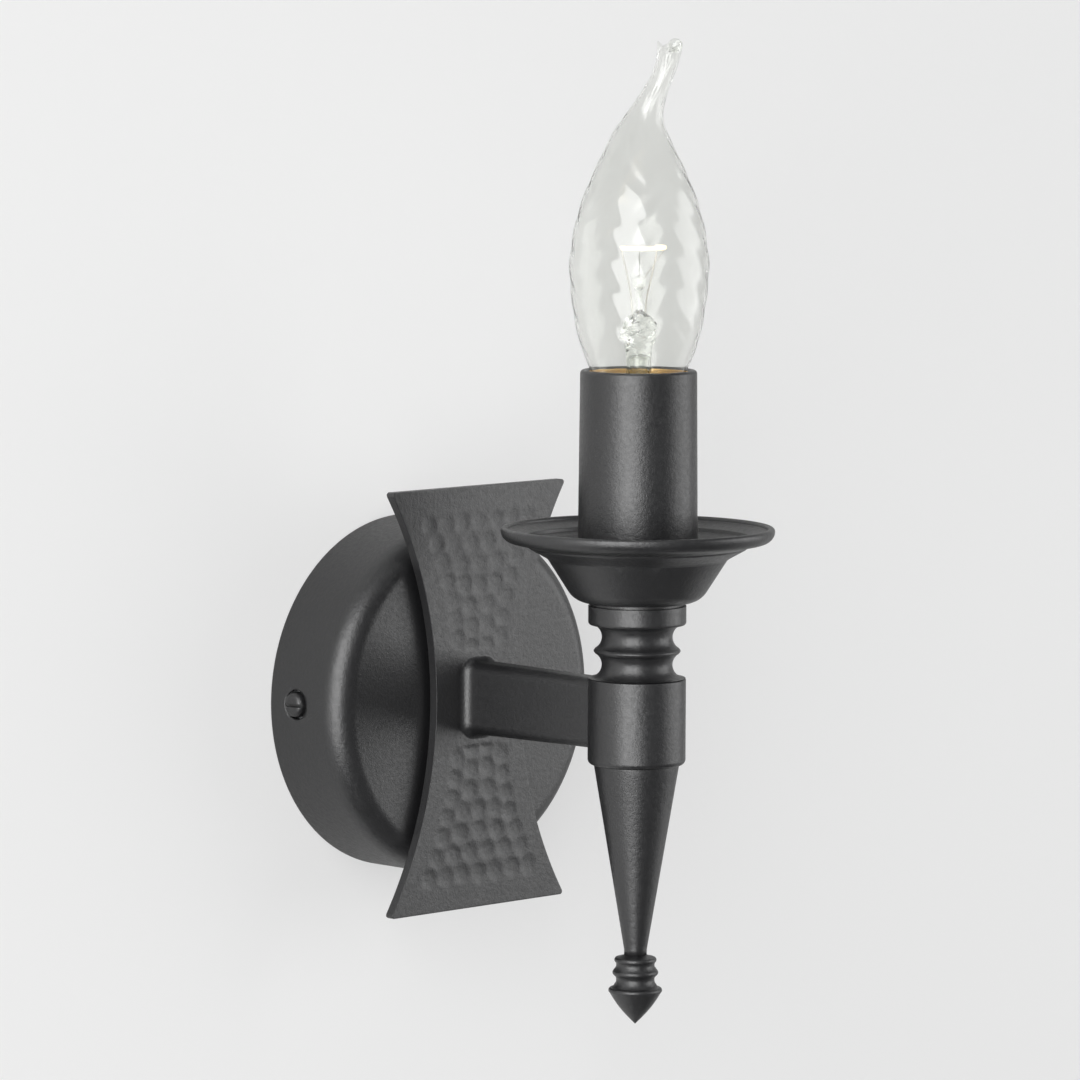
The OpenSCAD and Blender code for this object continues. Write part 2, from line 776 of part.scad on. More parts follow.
glass_sides = 60;
glass_rings = 44;
function glass_ring(t, inset) =
    let (r = form_at(t) * glass_d / 2 - inset, f = flute_at(t))
    [for (i = [0:glass_sides - 1]) let (a = 360 * i / glass_sides,
        d = r - f * (0.5 - 0.5 * cos(flute_count * (a + flute_turn * t))))
        [d * cos(a), d * sin(a), glass_z + glass_h * t] + lean_at(t) * lean_dir];

module bulb_glass() {
    inner_top = 0.9;
    outer = [for (k = [0:glass_rings]) glass_ring(k / glass_rings, 0)];
    inner = [for (k = [glass_rings:-1:0]) glass_ring(inner_top * k / glass_rings, glass_wall)];
    n = glass_sides;
    both = concat(outer, inner);
    m = len(both);
    points = [for (ring = both) for (p = ring) p];
    k_top = glass_rings;
    skin = [for (j = [0:m - 1]) if (j != k_top) for (i = [0:n - 1])
        let (a = j * n + i, b = j * n + (i + 1) % n, c = ((j + 1) % m) * n)
        for (f = [[a, c + (i + 1) % n, b], [a, c + i, c + (i + 1) % n]]) f];
    tip = [[for (i = [n - 1:-1:0]) k_top * n + i]];
    cave = [[for (i = [0:n - 1]) (k_top + 1) * n + i]];
    color(clear)
    torch()
        polyhedron(points = points, faces = concat(skin, tip, cave), convexity = 10);
}

module bulb_cap() {
    crest = cap_d / 2;
    root = crest - 0.5;
    skin = 0.35;
    turns = 5;
    steps = 6;
    thread_h = turns * cap_pitch;
    color(brass)
    torch()
        translate([0, 0, cap_z])
            rotate_extrude()
                polygon(concat(
                    [[root - skin - 0.3, 0], [root - 0.3, 0]],
                    [for (i = [0:turns * steps]) let (z = 0.4 + thread_h * i / (turns * steps))
                        [(crest + root) / 2 - (crest - root) / 2 * cos(360 * i / steps), z]],
                    [[root, thread_h + 1.2], [root + 0.35, thread_h + 2.6], [root + 1.9, cap_h],
                     [root + 1.9 - skin, cap_h], [root + 0.35 - skin, thread_h + 2.8],
                     [root - skin, thread_h + 1.4], [root - skin, 0.8]]));
}

module bulb_insulator() {
    top_r = cap_d / 2 - 0.5 - 0.35 - 0.1;
    color(phenolic)
    torch()
        rotate_extrude()
            polygon([[0, contact_z + 1.2], [3.2, contact_z + 1.2], [top_r - 0.5, cap_z],
                     [top_r - 0.3, cap_z + 0.9], [top_r - 0.3, cap_z + 2.4], [0, cap_z + 2.4]]);
}

module bulb_contact() {
    color(steel)
    torch()
        rotate_extrude()
            polygon([[0, contact_z], [1.6, contact_z], [2.3, contact_z + 0.5],
                     [2.4, contact_z + 1.2], [0, contact_z + 1.2]]);
}

stem_z = glass_z + 0.6;
press_z = glass_z + 0.274 * glass_h;
button_z = press_z + 0.12 * glass_h;
wire_top_z = press_z + 0.205 * glass_h;
hoop_r = 0.178 * glass_d;
flare_r = 0.167 * glass_d;
filament_r = 0.35;

module bulb_stem() {
    color(clear)
    torch()
        union() {
            rotate_extrude($fn = 48)
                polygon([[3.4, stem_z], [flare_r, stem_z], [4.1, stem_z + 3.5], [3.1, stem_z + 7],
                         [3.1, press_z], [0, press_z + 1.2], [0, press_z - 2], [2.3, press_z - 3],
                         [2.3, stem_z + 7], [3.2, stem_z + 3.5]]);
            translate([0, 0, press_z])
                cube([5.4, 2.2, 6], center = true);
            translate([0, 0, press_z + 2])
                cylinder(r = 0.9, h = button_z - press_z - 2, $fn = 32);
            translate([0, 0, button_z])
                sphere(r = 1.7, $fn = 32);
        }
}

module bulb_wires() {
    wire_r = 0.3;
    foot_x = 2.2;
    foot_z = press_z + 3.08;
    top_z = wire_top_z - filament_r - 0.1;
    tilt = atan((hoop_r - foot_x) / (top_z - foot_z));
    rise = wire_top_z - button_z;
    color(steel)
    torch() {
        for (s = [-1, 1]) {
            translate([s * foot_x, 0, foot_z])
                rotate([0, s * tilt, 0])
                    cylinder(r = wire_r, h = (top_z - foot_z) / cos(tilt), $fn = 16);
        }
        for (a = [-45, -135])
            translate([0, 0, button_z])
                rotate([0, atan(hoop_r / rise), a])
                    translate([0, 0, 1.72])
                        cylinder(r = 0.15, h = norm([hoop_r, rise]) - 1.72 - filament_r - 0.05, $fn = 16);
    }
}

module bulb_filament() {
    color([1, 0.82, 0.5])
    torch()
        translate([0, 0, wire_top_z])
            rotate([0, 0, 180])
                rotate_extrude(angle = 180, $fn = 64)
                    translate([hoop_r, 0])
                        circle(r = filament_r, $fn = 16);
}

// ---- wiring behind the canopy ----

small_screw_d = 3;
earth_x = 17;
stud_x = -22;
stud_z = -18;
pole_y = -bracket_t - 4.7;
pole_r = 3.9;
tower_y = pole_y - 1.6 * pole_r;

module terminal_block() {
    color(natural)
    difference() {
        union() {
            for (s = [-1, 1]) {
                translate([s * pole_gap / 2, pole_y, -block_len / 2])
                    cylinder(r = pole_r, h = block_len);
                for (z = [-1, 1])
                    translate([s * pole_gap / 2, pole_y, z * 3.4])
                        rotate([90, 0, 0])
                            cylinder(r = 2.8, h = pole_y - tower_y);
            }
            translate([-pole_gap / 2 - pole_r, pole_y, -block_len / 2])
                cube([pole_gap + 2 * pole_r, -bracket_t - pole_y, block_len]);
        }
        for (s = [-1, 1]) {
            translate([s * pole_gap / 2, pole_y, -block_len])
                cylinder(r = clamp_r + thread_gap, h = 2 * block_len);
            for (z = [-1, 1])
                translate([s * pole_gap / 2, pole_y, z * 3.4])
                    rotate([90, 0, 0])
                        cylinder(r = 1.9, h = 20);
        }
        translate([0, cut, 0])
            rotate([90, 0, 0])
                cylinder(d = small_screw_d + 0.2, h = 20);
        translate([0, block_seat_y, 0])
            rotate([90, 0, 0])
                cylinder(r = 2.75, h = 20);
    }
}

clamp_r = 2.4;
clamp_bore_r = 1.5;
block_seat_y = -bracket_t - 3;

module terminal_tubes() {
    color(brass)
    for (s = [-1, 1])
        difference() {
            translate([s * pole_gap / 2, pole_y, -6])
                cylinder(r = clamp_r, h = 12);
            translate([s * pole_gap / 2, pole_y, -7])
                cylinder(r = clamp_bore_r, h = 14);
            for (z = [-1, 1])
                translate([s * pole_gap / 2, pole_y, z * 3.4])
                    rotate([90, 0, 0])
                        cylinder(r = 1.3 + thread_gap, h = 10);
        }
}

module terminal_screws() {
    color(steel)
    for (s = [-1, 1])
        for (z = [-1, 1])
            translate([s * pole_gap / 2, 0, z * 3.4])
                difference() {
                    translate([0, tower_y + 1.6, 0])
                        rotate([-90, 0, 0])
                            cylinder(r = 1.3, h = pole_y - tower_y - 1.6 - lead_d / 2 - seat_gap);
                    translate([-2, tower_y + 1, -0.3])
                        cube([4, 1.3, 0.6]);
                }
}

module block_screw() {
    color(steel)
    difference() {
        union() {
            translate([0, 0, 0])
                rotate([90, 0, 0])
                    cylinder(d = small_screw_d, h = -block_seat_y);
            translate([0, block_seat_y, 0])
                rotate([90, 0, 0])
                    cylinder(d = 5.4, h = 2);
        }
        translate([-4, block_seat_y - 2.5, -0.35])
            cube([8, 1.3, 0.7]);
    }
}

stud_r = 2;
tag_t = 0.8;
nut_h = 3;

module earth_stud() {
    color(steel)
    translate([stud_x, inner_face_y, stud_z])
        rotate([-90, 0, 0])
            cylinder(r = stud_r, h = 8);
}

module earth_nut() {
    color(steel)
    translate([stud_x, inner_face_y + tag_t, stud_z])
        rotate([-90, 0, 0])
            difference() {
                cylinder(r = 3.9, h = nut_h, $fn = 6);
                translate([0, 0, -cut])
                    cylinder(r = stud_r + thread_gap, h = nut_h + 2 * cut);
            }
}

module earth_screw() {
    color(steel)
    translate([-earth_x, -bracket_t - tag_t, 0])
        rotate([90, 0, 0])
            difference() {
                union() {
                    translate([0, 0, -bracket_t - tag_t])
                        cylinder(d = small_screw_d, h = bracket_t + tag_t);
                    cylinder(r = 2.8, h = 2);
                }
                translate([-4, -0.35, 1.1])
                    cube([8, 0.7, 2]);
            }
}

barrel_r = 1.7;
barrel_len = 5.2;

module tag(hole_r) {
    difference() {
        union() {
            cylinder(r = 3.8, h = tag_t);
            translate([0, -4.1 - barrel_len, barrel_r])
                rotate([-90, 0, 0])
                    cylinder(r = barrel_r, h = barrel_len);
            translate([-1.2, -4.2, 0])
                cube([2.4, 3, tag_t]);
        }
        translate([0, 0, -cut])
            cylinder(r = hole_r, h = tag_t + 2 * cut);
        translate([0, -4.2 - barrel_len, barrel_r])
            rotate([-90, 0, 0])
                cylinder(r = lead_d / 2 + 0.1, h = barrel_len + 0.6);
    }
}

module earth_tags() {
    color(brass) {
        translate([-earth_x, -bracket_t, 0])
            rotate([90, 0, 0])
                tag(small_screw_d / 2 + 0.1);
        translate([stud_x, inner_face_y, stud_z])
            rotate([-90, 0, 0])
                tag(stud_r + 0.1);
    }
}

// Route of a supply lead from its clamp through the arm and the torch to the lampholder,
// on the side s of the middle plane
function supply_route(s) = [
    [s * pole_gap / 2, pole_y, 1.2], [s * pole_gap / 2, pole_y, 6.5],
    [s * (pole_gap / 2 - 0.3), pole_y - 0.4, 10], [s * (pole_gap / 2 - 1), pole_y - 2.6, 13.2],
    [s * 3.6, -12.6, 14.2],
    [s * 2.8, -15.6, 12.6], [s * 2.2, -17.3, 8.6], [s * 1.6, -18.6, 4.2],
    [s * 1.3, -21.2, 1.2], [s * 1.25, -25, 0.2], [s * 1.25, -30, 0],
    [s * 1.25, -44, 0], [s * 1.25, -58, -0.2], [s * 1.25, 10 - reach, -0.8],
    [s * 1.25, 5 - reach, -1.1], [s * 1.25, 2 - reach, 0], [s * 1.25, 0.4 - reach, 2.4],
    [s * 1.25, -reach, 6], [s * 1.25, -reach, 16], [s * 1.25, -reach, base_z - 3],
    [s * 1.5, -reach, base_z + 0.6], [s * 2.5, -reach, base_z + 3],
    [s * 3.7, -reach, base_z + 4.6], [s * 4.4, -reach, base_z + 5.6],
    [s * terminal_x, -reach, cell_top_z - terminal_h - 0.3]];

module live_lead() {
    color(copper_brown)
    lead(supply_route(1), lead_d / 2);
}

module neutral_lead() {
    color(sky_blue)
    lead(supply_route(-1), lead_d / 2);
}

module earth_lead() {
    tag_y = -bracket_t - barrel_r;
    stud_y = inner_face_y + barrel_r;
    color(earth_green)
    lead([[-earth_x, tag_y, -4.4], [-earth_x, tag_y, -9.4], [-17.4, -6.4, -12.6],
          [-18.6, -10.5, -13.6], [-19.8, -14.4, -11.8], [-20.8, -17.4, -7.6],
          [-21.5, -19.8, -5.2], [stud_x, stud_y - 0.2, -6.4], [stud_x, stud_y, -9.2],
          [stud_x, stud_y, -13.6]], lead_d / 2);
}

wall_bracket();
canopy();
side_screws();
plate_spacer();
hammered_plate();
arm();
arm_screws();
collar();
cone();
finial();
turned_neck();
centre_tube();
cup_washer();
drip_cup();
lock_nut();
candle_sleeve();
holder_base();
holder_barrel();
holder_shell();
holder_contact();
holder_terminals();
holder_screws();
bulb_glass();
bulb_cap();
bulb_insulator();
bulb_contact();
bulb_stem();
bulb_wires();
bulb_filament();
terminal_block();
terminal_tubes();
terminal_screws();
block_screw();
earth_stud();
earth_nut();
earth_screw();
earth_tags();
live_lead();
neutral_lead();
earth_lead();
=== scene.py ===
import math
import numpy as np
import bpy
from mathutils import Matrix, Vector


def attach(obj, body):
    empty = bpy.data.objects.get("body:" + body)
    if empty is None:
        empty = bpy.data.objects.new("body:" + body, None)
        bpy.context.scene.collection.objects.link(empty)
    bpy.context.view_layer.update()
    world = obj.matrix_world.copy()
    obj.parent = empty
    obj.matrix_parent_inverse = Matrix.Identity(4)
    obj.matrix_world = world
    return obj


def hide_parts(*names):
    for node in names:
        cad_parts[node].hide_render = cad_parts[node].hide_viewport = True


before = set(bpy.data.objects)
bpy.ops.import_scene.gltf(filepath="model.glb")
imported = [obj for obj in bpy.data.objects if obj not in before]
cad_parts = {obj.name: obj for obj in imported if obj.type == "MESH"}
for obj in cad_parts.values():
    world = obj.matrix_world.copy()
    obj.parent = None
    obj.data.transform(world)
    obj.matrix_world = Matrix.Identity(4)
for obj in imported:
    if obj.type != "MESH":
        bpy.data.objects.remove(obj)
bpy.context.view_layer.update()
print("frame loaded:", len(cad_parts), "nodes")

mm = 0.001
reach = 85.6                        # how far the torch stands out of the wall, in millimetres
torchAxis = (0.0, -reach * mm)      # x and y of the upright torch, in metres


# mesh helpers: every surface below is a grid of points

def putMesh(name, points, quads, tris=None):
    # points is (n, 3); quads (m, 4) and tris (k, 3) hold vertex numbers, counter-clockwise from outside
    points = np.ascontiguousarray(points, dtype=np.float64)
    quads = np.asarray(quads, dtype=np.int64).reshape(-1, 4)
    tris = np.zeros((0, 3), np.int64) if tris is None else np.asarray(tris, np.int64).reshape(-1, 3)
    loops = np.concatenate([quads.ravel(), tris.ravel()]).astype(np.int32)
    sizes = np.concatenate([np.full(len(quads), 4), np.full(len(tris), 3)]).astype(np.int32)
    starts = np.concatenate([[0], np.cumsum(sizes)[:-1]]).astype(np.int32)
    mesh = bpy.data.meshes.new(name)
    mesh.vertices.add(len(points))
    mesh.vertices.foreach_set("co", points.ravel())
    mesh.loops.add(len(loops))
    mesh.loops.foreach_set("vertex_index", loops)
    mesh.polygons.add(len(sizes))
    mesh.polygons.foreach_set("loop_start", starts)
    mesh.polygons.foreach_set("use_smooth", np.ones(len(sizes), bool))
    mesh.update(calc_edges=True)
    mesh.validate()
    piece = bpy.data.objects.new(name, mesh)
    bpy.context.scene.collection.objects.link(piece)
    return piece


def gridQuads(rows, cols, wrapRows=False, wrapCols=True, first=0):
    # quads between neighbouring rows and columns of a grid stored row by row
    r = np.arange(rows if wrapRows else rows - 1)
    c = np.arange(cols if wrapCols else cols - 1)
    r, c = np.meshgrid(r, c, indexing="ij")
    r2, c2 = (r + 1) % rows, (c + 1) % cols
    return first + np.stack([r * cols + c, r * cols + c2, r2 * cols + c2, r2 * cols + c], -1).reshape(-1, 4)


def fan(middle, first, sides, upward=False):
    # triangles between one middle point and the ring of points that starts at first
    c, c2 = np.arange(sides), (np.arange(sides) + 1) % sides
    ring = [first + c, first + c2] if upward else [first + c2, first + c]
    return np.stack([np.full(sides, middle)] + ring, -1)


def cappedMesh(name, rings, low, high):
    # rings of points one above the other, with each end closed in one point
    rows, sides = rings.shape[:2]
    n = rows * sides
    tris = np.vstack([fan(n, 0, sides), fan(n + 1, n - sides, sides, upward=True)])
    return putMesh(name, np.vstack([rings.reshape(-1, 3), [low], [high]]), gridQuads(rows, sides), tris)


def arcPoints(x, y, radius, fromDeg, toDeg, steps):
    # points of a circular arc in the plane
    a = np.radians(np.linspace(fromDeg, toDeg, steps + 1))
    return np.stack([x + radius * np.cos(a), y + radius * np.sin(a)], -1)


def joined(*parts):
    return np.concatenate([np.asarray(p, float).reshape(-1, 2) for p in parts])


def softened(profile, radius, steps=4):
    # each corner of a closed outline becomes a short curve: the corner pulls a parabola that starts and
    # ends radius away along its two edges, or at 0.45 of an edge that is short
    p = np.asarray(profile, float)
    radius = np.broadcast_to(np.asarray(radius, float), (len(p),))
    before, after = np.roll(p, 1, 0) - p, np.roll(p, -1, 0) - p
    lenB, lenA = np.linalg.norm(before, axis=1), np.linalg.norm(after, axis=1)
    cutB = np.minimum(radius, 0.45 * lenB)[:, None] * before / lenB[:, None]
    cutA = np.minimum(radius, 0.45 * lenA)[:, None] * after / lenA[:, None]
    t = np.linspace(0, 1, steps + 1)[None, :, None]
    curve = (1 - t) ** 2 * (p + cutB)[:, None] + 2 * t * (1 - t) * p[:, None] + t ** 2 * (p + cutA)[:, None]
    return curve.reshape(-1, 2)


def resampled(profile, step, closed=True):
    # the same outline with no stretch longer than step
    p = np.asarray(profile, float)
    ends = np.roll(p, -1, 0) if closed else p[1:]
    begins = p if closed else p[:-1]
    count = np.maximum(1, np.ceil(np.linalg.norm(ends - begins, axis=1) / step).astype(int))
    owner = np.repeat(np.arange(len(begins)), count)
    place = np.arange(count.sum()) - np.repeat(np.cumsum(count) - count, count)
    t = (place / count[owner])[:, None]
    out = begins[owner] * (1 - t) + ends[owner] * t
    return out if closed else np.vstack([out, p[-1]])


def turnedGrid(profile, sides, centre=torchAxis, height=0.0):
    # an outline of (radius, height) in millimetres carried once round an upright axis:
    # x = radius cos(angle), y = radius sin(angle), z = height
    a = np.linspace(0, 2 * np.pi, sides, endpoint=False)[None, :]
    r, z = profile[:, 0:1] * mm, profile[:, 1:2] * mm + height
    return np.stack([centre[0] + r * np.cos(a), centre[1] + r * np.sin(a), z + 0 * a], -1)


def revolved(name, profile, sides):
    # a closed outline turned round the torch's axis, its inside kept to one hand
    p = np.asarray(profile, float)
    area = 0.5 * np.sum(p[:, 0] * np.roll(p[:, 1], -1) - np.roll(p[:, 0], -1) * p[:, 1])
    grid = turnedGrid(p[::-1] if area < 0 else p, sides)
    return putMesh(name, grid.reshape(-1, 3), gridQuads(len(p), sides, wrapRows=True))


def revolvedSolid(name, profile, sides, centre=torchAxis, height=0.0):
    # as revolved, but the outline starts and ends on the axis, and each end closes in one point
    p = np.asarray(profile, float)
    p = p[::-1] if p[0, 1] > p[-1, 1] else p
    low, high = [(centre[0], centre[1], p[k, 1] * mm + height) for k in (0, -1)]
    return cappedMesh(name, turnedGrid(p[1:-1], sides, centre, height), low, high)


def tubeMesh(name, path, radius, sides, across):
    # a ring at each point of the path: point + radius (cos u side + sin u other), where side is square to
    # the path and to the direction across, and other is square to the path and to side
    tangent = np.gradient(path, axis=0)
    tangent /= np.linalg.norm(tangent, axis=1, keepdims=True)
    side = np.cross(tangent, across)
    side /= np.linalg.norm(side, axis=1, keepdims=True)
    other = np.cross(tangent, side)
    u = np.linspace(0, 2 * np.pi, sides, endpoint=False)[None, :, None]
    rings = path[:, None] + radius * (np.cos(u) * side[:, None] + np.sin(u) * other[:, None])
    return cappedMesh(name, rings * mm, path[0] * mm, path[-1] * mm)


def tubeAlong(name, route, radius, sides=16):
    # a round tube along the Catmull-Rom curve through the points of a route, eight steps from point to point
    p = np.asarray(route, float)
    ends = np.vstack([2 * p[0] - p[1], p, 2 * p[-1] - p[-2]])
    t = np.linspace(0, 1, 8, endpoint=False)[None, :, None]
    a, b, c, d = ends[:-3, None], ends[1:-2, None], ends[2:-1, None], ends[3:, None]
    curve = 0.5 * (2 * b + (c - a) * t + (2 * a - 5 * b + 4 * c - d) * t ** 2 + (3 * b - a - 3 * c + d) * t ** 3)
    return tubeMesh(name, np.vstack([curve.reshape(-1, 3), p[-1]]), radius, sides, [1.0, 0.02, 0.013])


def smoothStep(t):
    # 0 below 0, 1 above 1, and 3t^2 - 2t^3 between
    t = np.clip(t, 0, 1)
    return t * t * (3 - 2 * t)


def scatter(seed, count):
    # a repeatable spread of numbers between -1 and 1
    return np.random.default_rng(seed).uniform(-1, 1, count)


# finishes

def newMaterial(name):
    material = bpy.data.materials.new(name)
    material.use_nodes = True
    tree = material.node_tree
    shader = tree.nodes["Principled BSDF"]
    return material, tree, shader


def objectPattern(tree, stretch=(1, 1, 1)):
    place = tree.nodes.new("ShaderNodeTexCoord")
    mapping = tree.nodes.new("ShaderNodeMapping")
    mapping.inputs["Scale"].default_value = stretch
    tree.links.new(place.outputs["Object"], mapping.inputs["Vector"])
    return mapping.outputs["Vector"]


def noiseOn(tree, vector, scale, detail, rough=0.55):
    noise = tree.nodes.new("ShaderNodeTexNoise")
    noise.inputs["Scale"].default_value = scale
    noise.inputs["Detail"].default_value = detail
    noise.inputs["Roughness"].default_value = rough
    tree.links.new(vector, noise.inputs["Vector"])
    return noise.outputs["Fac"]


def rampOn(tree, value, stops):
    ramp = tree.nodes.new("ShaderNodeValToRGB")
    while len(ramp.color_ramp.elements) < len(stops):
        ramp.color_ramp.elements.new(0.5)
    for element, (place, colour) in zip(ramp.color_ramp.elements, stops):
        element.position = place
        element.color = (*colour, 1)
    tree.links.new(value, ramp.inputs["Fac"])
    return ramp.outputs["Color"]


def spreadOn(tree, value, low, high, fromLow=0.3, fromHigh=0.7):
    spread = tree.nodes.new("ShaderNodeMapRange")
    spread.inputs["From Min"].default_value = fromLow
    spread.inputs["From Max"].default_value = fromHigh
    spread.inputs["To Min"].default_value = low
    spread.inputs["To Max"].default_value = high
    tree.links.new(value, spread.inputs["Value"])
    return spread.outputs["Result"]


def bumpOn(tree, value, strength, distance, after=None):
    bump = tree.nodes.new("ShaderNodeBump")
    bump.inputs["Strength"].default_value = strength
    bump.inputs["Distance"].default_value = distance
    tree.links.new(value, bump.inputs["Height"])
    if after is not None:
        tree.links.new(after, bump.inputs["Normal"])
    return bump.outputs["Normal"]


def blendOn(tree, share, under, colour):
    blend = tree.nodes.new("ShaderNodeMix")
    blend.data_type = "RGBA"
    tree.links.new(share, blend.inputs[0])
    tree.links.new(under, blend.inputs["A"])
    blend.inputs["B"].default_value = (*colour, 1)
    return blend.outputs["Result"]


def mathOn(tree, operation, first, second):
    # second is a number or another node's output
    step = tree.nodes.new("ShaderNodeMath")
    step.operation = operation
    tree.links.new(first, step.inputs[0])
    if isinstance(second, (int, float)):
        step.inputs[1].default_value = second
    else:
        tree.links.new(second, step.inputs[1])
    return step.outputs[0]


def mixOn(tree, share, first, second):
    mix = tree.nodes.new("ShaderNodeMixShader")
    for k, output in enumerate((share, first, second)):
        tree.links.new(output, mix.inputs[k])
    return mix.outputs[0]


def clearOn(tree, colour=(1, 1, 1)):
    clear = tree.nodes.new("ShaderNodeBsdfTransparent")
    clear.inputs["Color"].default_value = (*colour, 1)
    return clear.outputs[0]


def seenOn(tree):
    # 1 for what the camera sees straight or through glass, 0 for all that lights or mirrors
    rays = tree.nodes.new("ShaderNodeLightPath")
    return mathOn(tree, "MAXIMUM", rays.outputs["Is Camera Ray"], rays.outputs["Is Transmission Ray"])


def coatFinish(name, coat):
    # powder coat: fine cured grain, a slow orange peel, flecks of lighter pigment and rubbed convex edges
    material, tree, shader = newMaterial(name)
    here = objectPattern(tree)
    grain = noiseOn(tree, here, coat["grainPerMetre"], 3, 0.6)
    peel = noiseOn(tree, here, coat["peelPerMetre"], 2, 0.5)
    cloud = noiseOn(tree, here, coat["cloudPerMetre"], 5, 0.6)
    fleck = tree.nodes.new("ShaderNodeTexVoronoi")
    fleck.inputs["Scale"].default_value = coat["fleckPerMetre"]
    tree.links.new(here, fleck.inputs["Vector"])
    body = rampOn(tree, cloud, [(0.35, coat["dark"]), (0.65, coat["light"])])
    specks = spreadOn(tree, fleck.outputs["Distance"], coat["fleckShare"], 0, 0.02, 0.16)
    body = blendOn(tree, specks, body, coat["fleck"])
    worn = tree.nodes.new("ShaderNodeNewGeometry")
    wear = spreadOn(tree, worn.outputs["Pointiness"], 0, coat["wear"], 0.53, 0.6)
    tree.links.new(blendOn(tree, wear, body, coat["edge"]), shader.inputs["Base Color"])
    tree.links.new(spreadOn(tree, peel, coat["roughness"] - 0.05, coat["roughness"] + 0.06),
                   shader.inputs["Roughness"])
    shader.inputs["IOR"].default_value = coat["ior"]
    first = bumpOn(tree, peel, coat["peelBump"], 0.0004)
    tree.links.new(bumpOn(tree, grain, coat["grainBump"], 0.00008, first), shader.inputs["Normal"])
    return material


graphite = {
    "dark": (0.008, 0.008, 0.0088),
    "light": (0.0122, 0.0122, 0.0132),
    "fleck": (0.05, 0.05, 0.053),
    "fleckShare": 0.4,
    "fleckPerMetre": 1900,
    "edge": (0.05, 0.05, 0.05),
    "wear": 0.3,
    "roughness": 0.38,
    "ior": 1.8,
    "grainPerMetre": 2600,
    "grainBump": 0.6,
    "cloudPerMetre": 34,
    "peelPerMetre": 950,
    "peelBump": 0.17,
}
graphiteCoat = coatFinish("graphiteCoat", graphite)


def metalFinish(name, dark, light, roughness, stretch, streakPerMetre, bump):
    # drawn or turned metal: long fine scratches along one direction, clouded lustre and faint stains
    material, tree, shader = newMaterial(name)
    streak = noiseOn(tree, objectPattern(tree, stretch), streakPerMetre, 4, 0.6)
    cloud = noiseOn(tree, objectPattern(tree), 90, 5, 0.6)
    tree.links.new(rampOn(tree, cloud, [(0.3, dark), (0.7, light)]), shader.inputs["Base Color"])
    shader.inputs["Metallic"].default_value = 1
    tree.links.new(spreadOn(tree, streak, roughness - 0.07, roughness + 0.09), shader.inputs["Roughness"])
    tree.links.new(bumpOn(tree, streak, bump, 0.00004), shader.inputs["Normal"])
    return material


# dark and light colour, roughness, direction of the scratches, scratches to the metre, bump
metals = {
    "zincSteel": ((0.50, 0.51, 0.53), (0.66, 0.67, 0.68), 0.3, (1, 9, 9), 420, 0.25),
    "plainBrass": ((0.62, 0.42, 0.15), (0.78, 0.57, 0.25), 0.27, (1, 1, 10), 420, 0.25),
    # bare brass lining, pushed to a deep warm orange that paints in the lit lamp's glow on the sleeve's inner lip
    "bareBrassAndGlow": ((0.93, 0.53, 0.17), (1.0, 0.68, 0.3), 0.42, (1, 1, 8), 380, 0.2),
    "capBrass": ((0.70, 0.50, 0.22), (0.83, 0.66, 0.36), 0.2, (1, 1, 10), 500, 0.15),
    "nickelWire": ((0.42, 0.40, 0.37), (0.6, 0.58, 0.54), 0.3, (1, 1, 1), 1500, 0.2),
    "solderGrey": ((0.5, 0.5, 0.5), (0.66, 0.66, 0.65), 0.35, (1, 1, 1), 700, 0.5),
}
metal = {name: metalFinish(name, *values) for name, values in metals.items()}


def mouldedFinish(name, dark, light, roughness, cloudPerMetre, grainPerMetre, bump):
    # moulded plastic: a fine even spark grain, slow colour drift and a slightly uneven gloss
    material, tree, shader = newMaterial(name)
    here = objectPattern(tree)
    cloud = noiseOn(tree, here, cloudPerMetre, 4, 0.6)
    grain = noiseOn(tree, here, grainPerMetre, 3, 0.6)
    tree.links.new(rampOn(tree, cloud, [(0.3, dark), (0.7, light)]), shader.inputs["Base Color"])
    tree.links.new(spreadOn(tree, grain, roughness - 0.05, roughness + 0.07), shader.inputs["Roughness"])
    tree.links.new(bumpOn(tree, grain, bump, 0.00006), shader.inputs["Normal"])
    return material


# dark and light colour, roughness, clouds and grains to the metre, bump
plastics = {
    "phenolic": ((0.016, 0.014, 0.013), (0.028, 0.024, 0.022), 0.33, 120, 2400, 0.3),
    "naturalNylon": ((0.68, 0.66, 0.58), (0.78, 0.76, 0.70), 0.42, 150, 2200, 0.3),
    "spacerBlack": ((0.012, 0.012, 0.012), (0.02, 0.02, 0.02), 0.5, 150, 2600, 0.4),
    "brownLead": ((0.095, 0.036, 0.014), (0.13, 0.052, 0.02), 0.38, 200, 2600, 0.25),
    "blueLead": ((0.014, 0.07, 0.28), (0.022, 0.10, 0.36), 0.38, 200, 2600, 0.25),
    "vitriteBlack": ((0.01, 0.01, 0.014), (0.02, 0.02, 0.028), 0.12, 260, 1500, 0.25),
}
plastic = {name: mouldedFinish(name, *values) for name, values in plastics.items()}


def earthLeadFinish():
    # green insulation with a yellow stripe that winds slowly round it
    material, tree, shader = newMaterial("earthLead")
    here = objectPattern(tree)
    wave = tree.nodes.new("ShaderNodeTexWave")
    wave.bands_direction = "DIAGONAL"
    wave.inputs["Scale"].default_value = 62
    wave.inputs["Distortion"].default_value = 0.6
    tree.links.new(here, wave.inputs["Vector"])
    tree.links.new(rampOn(tree, wave.outputs["Fac"], [(0.47, (0.03, 0.24, 0.035)), (0.53, (0.66, 0.55, 0.03))]),
                   shader.inputs["Base Color"])
    grain = noiseOn(tree, here, 2600, 3)
    tree.links.new(spreadOn(tree, grain, 0.34, 0.45), shader.inputs["Roughness"])
    tree.links.new(bumpOn(tree, grain, 0.25, 0.00006), shader.inputs["Normal"])
    return material


earthLead = earthLeadFinish()


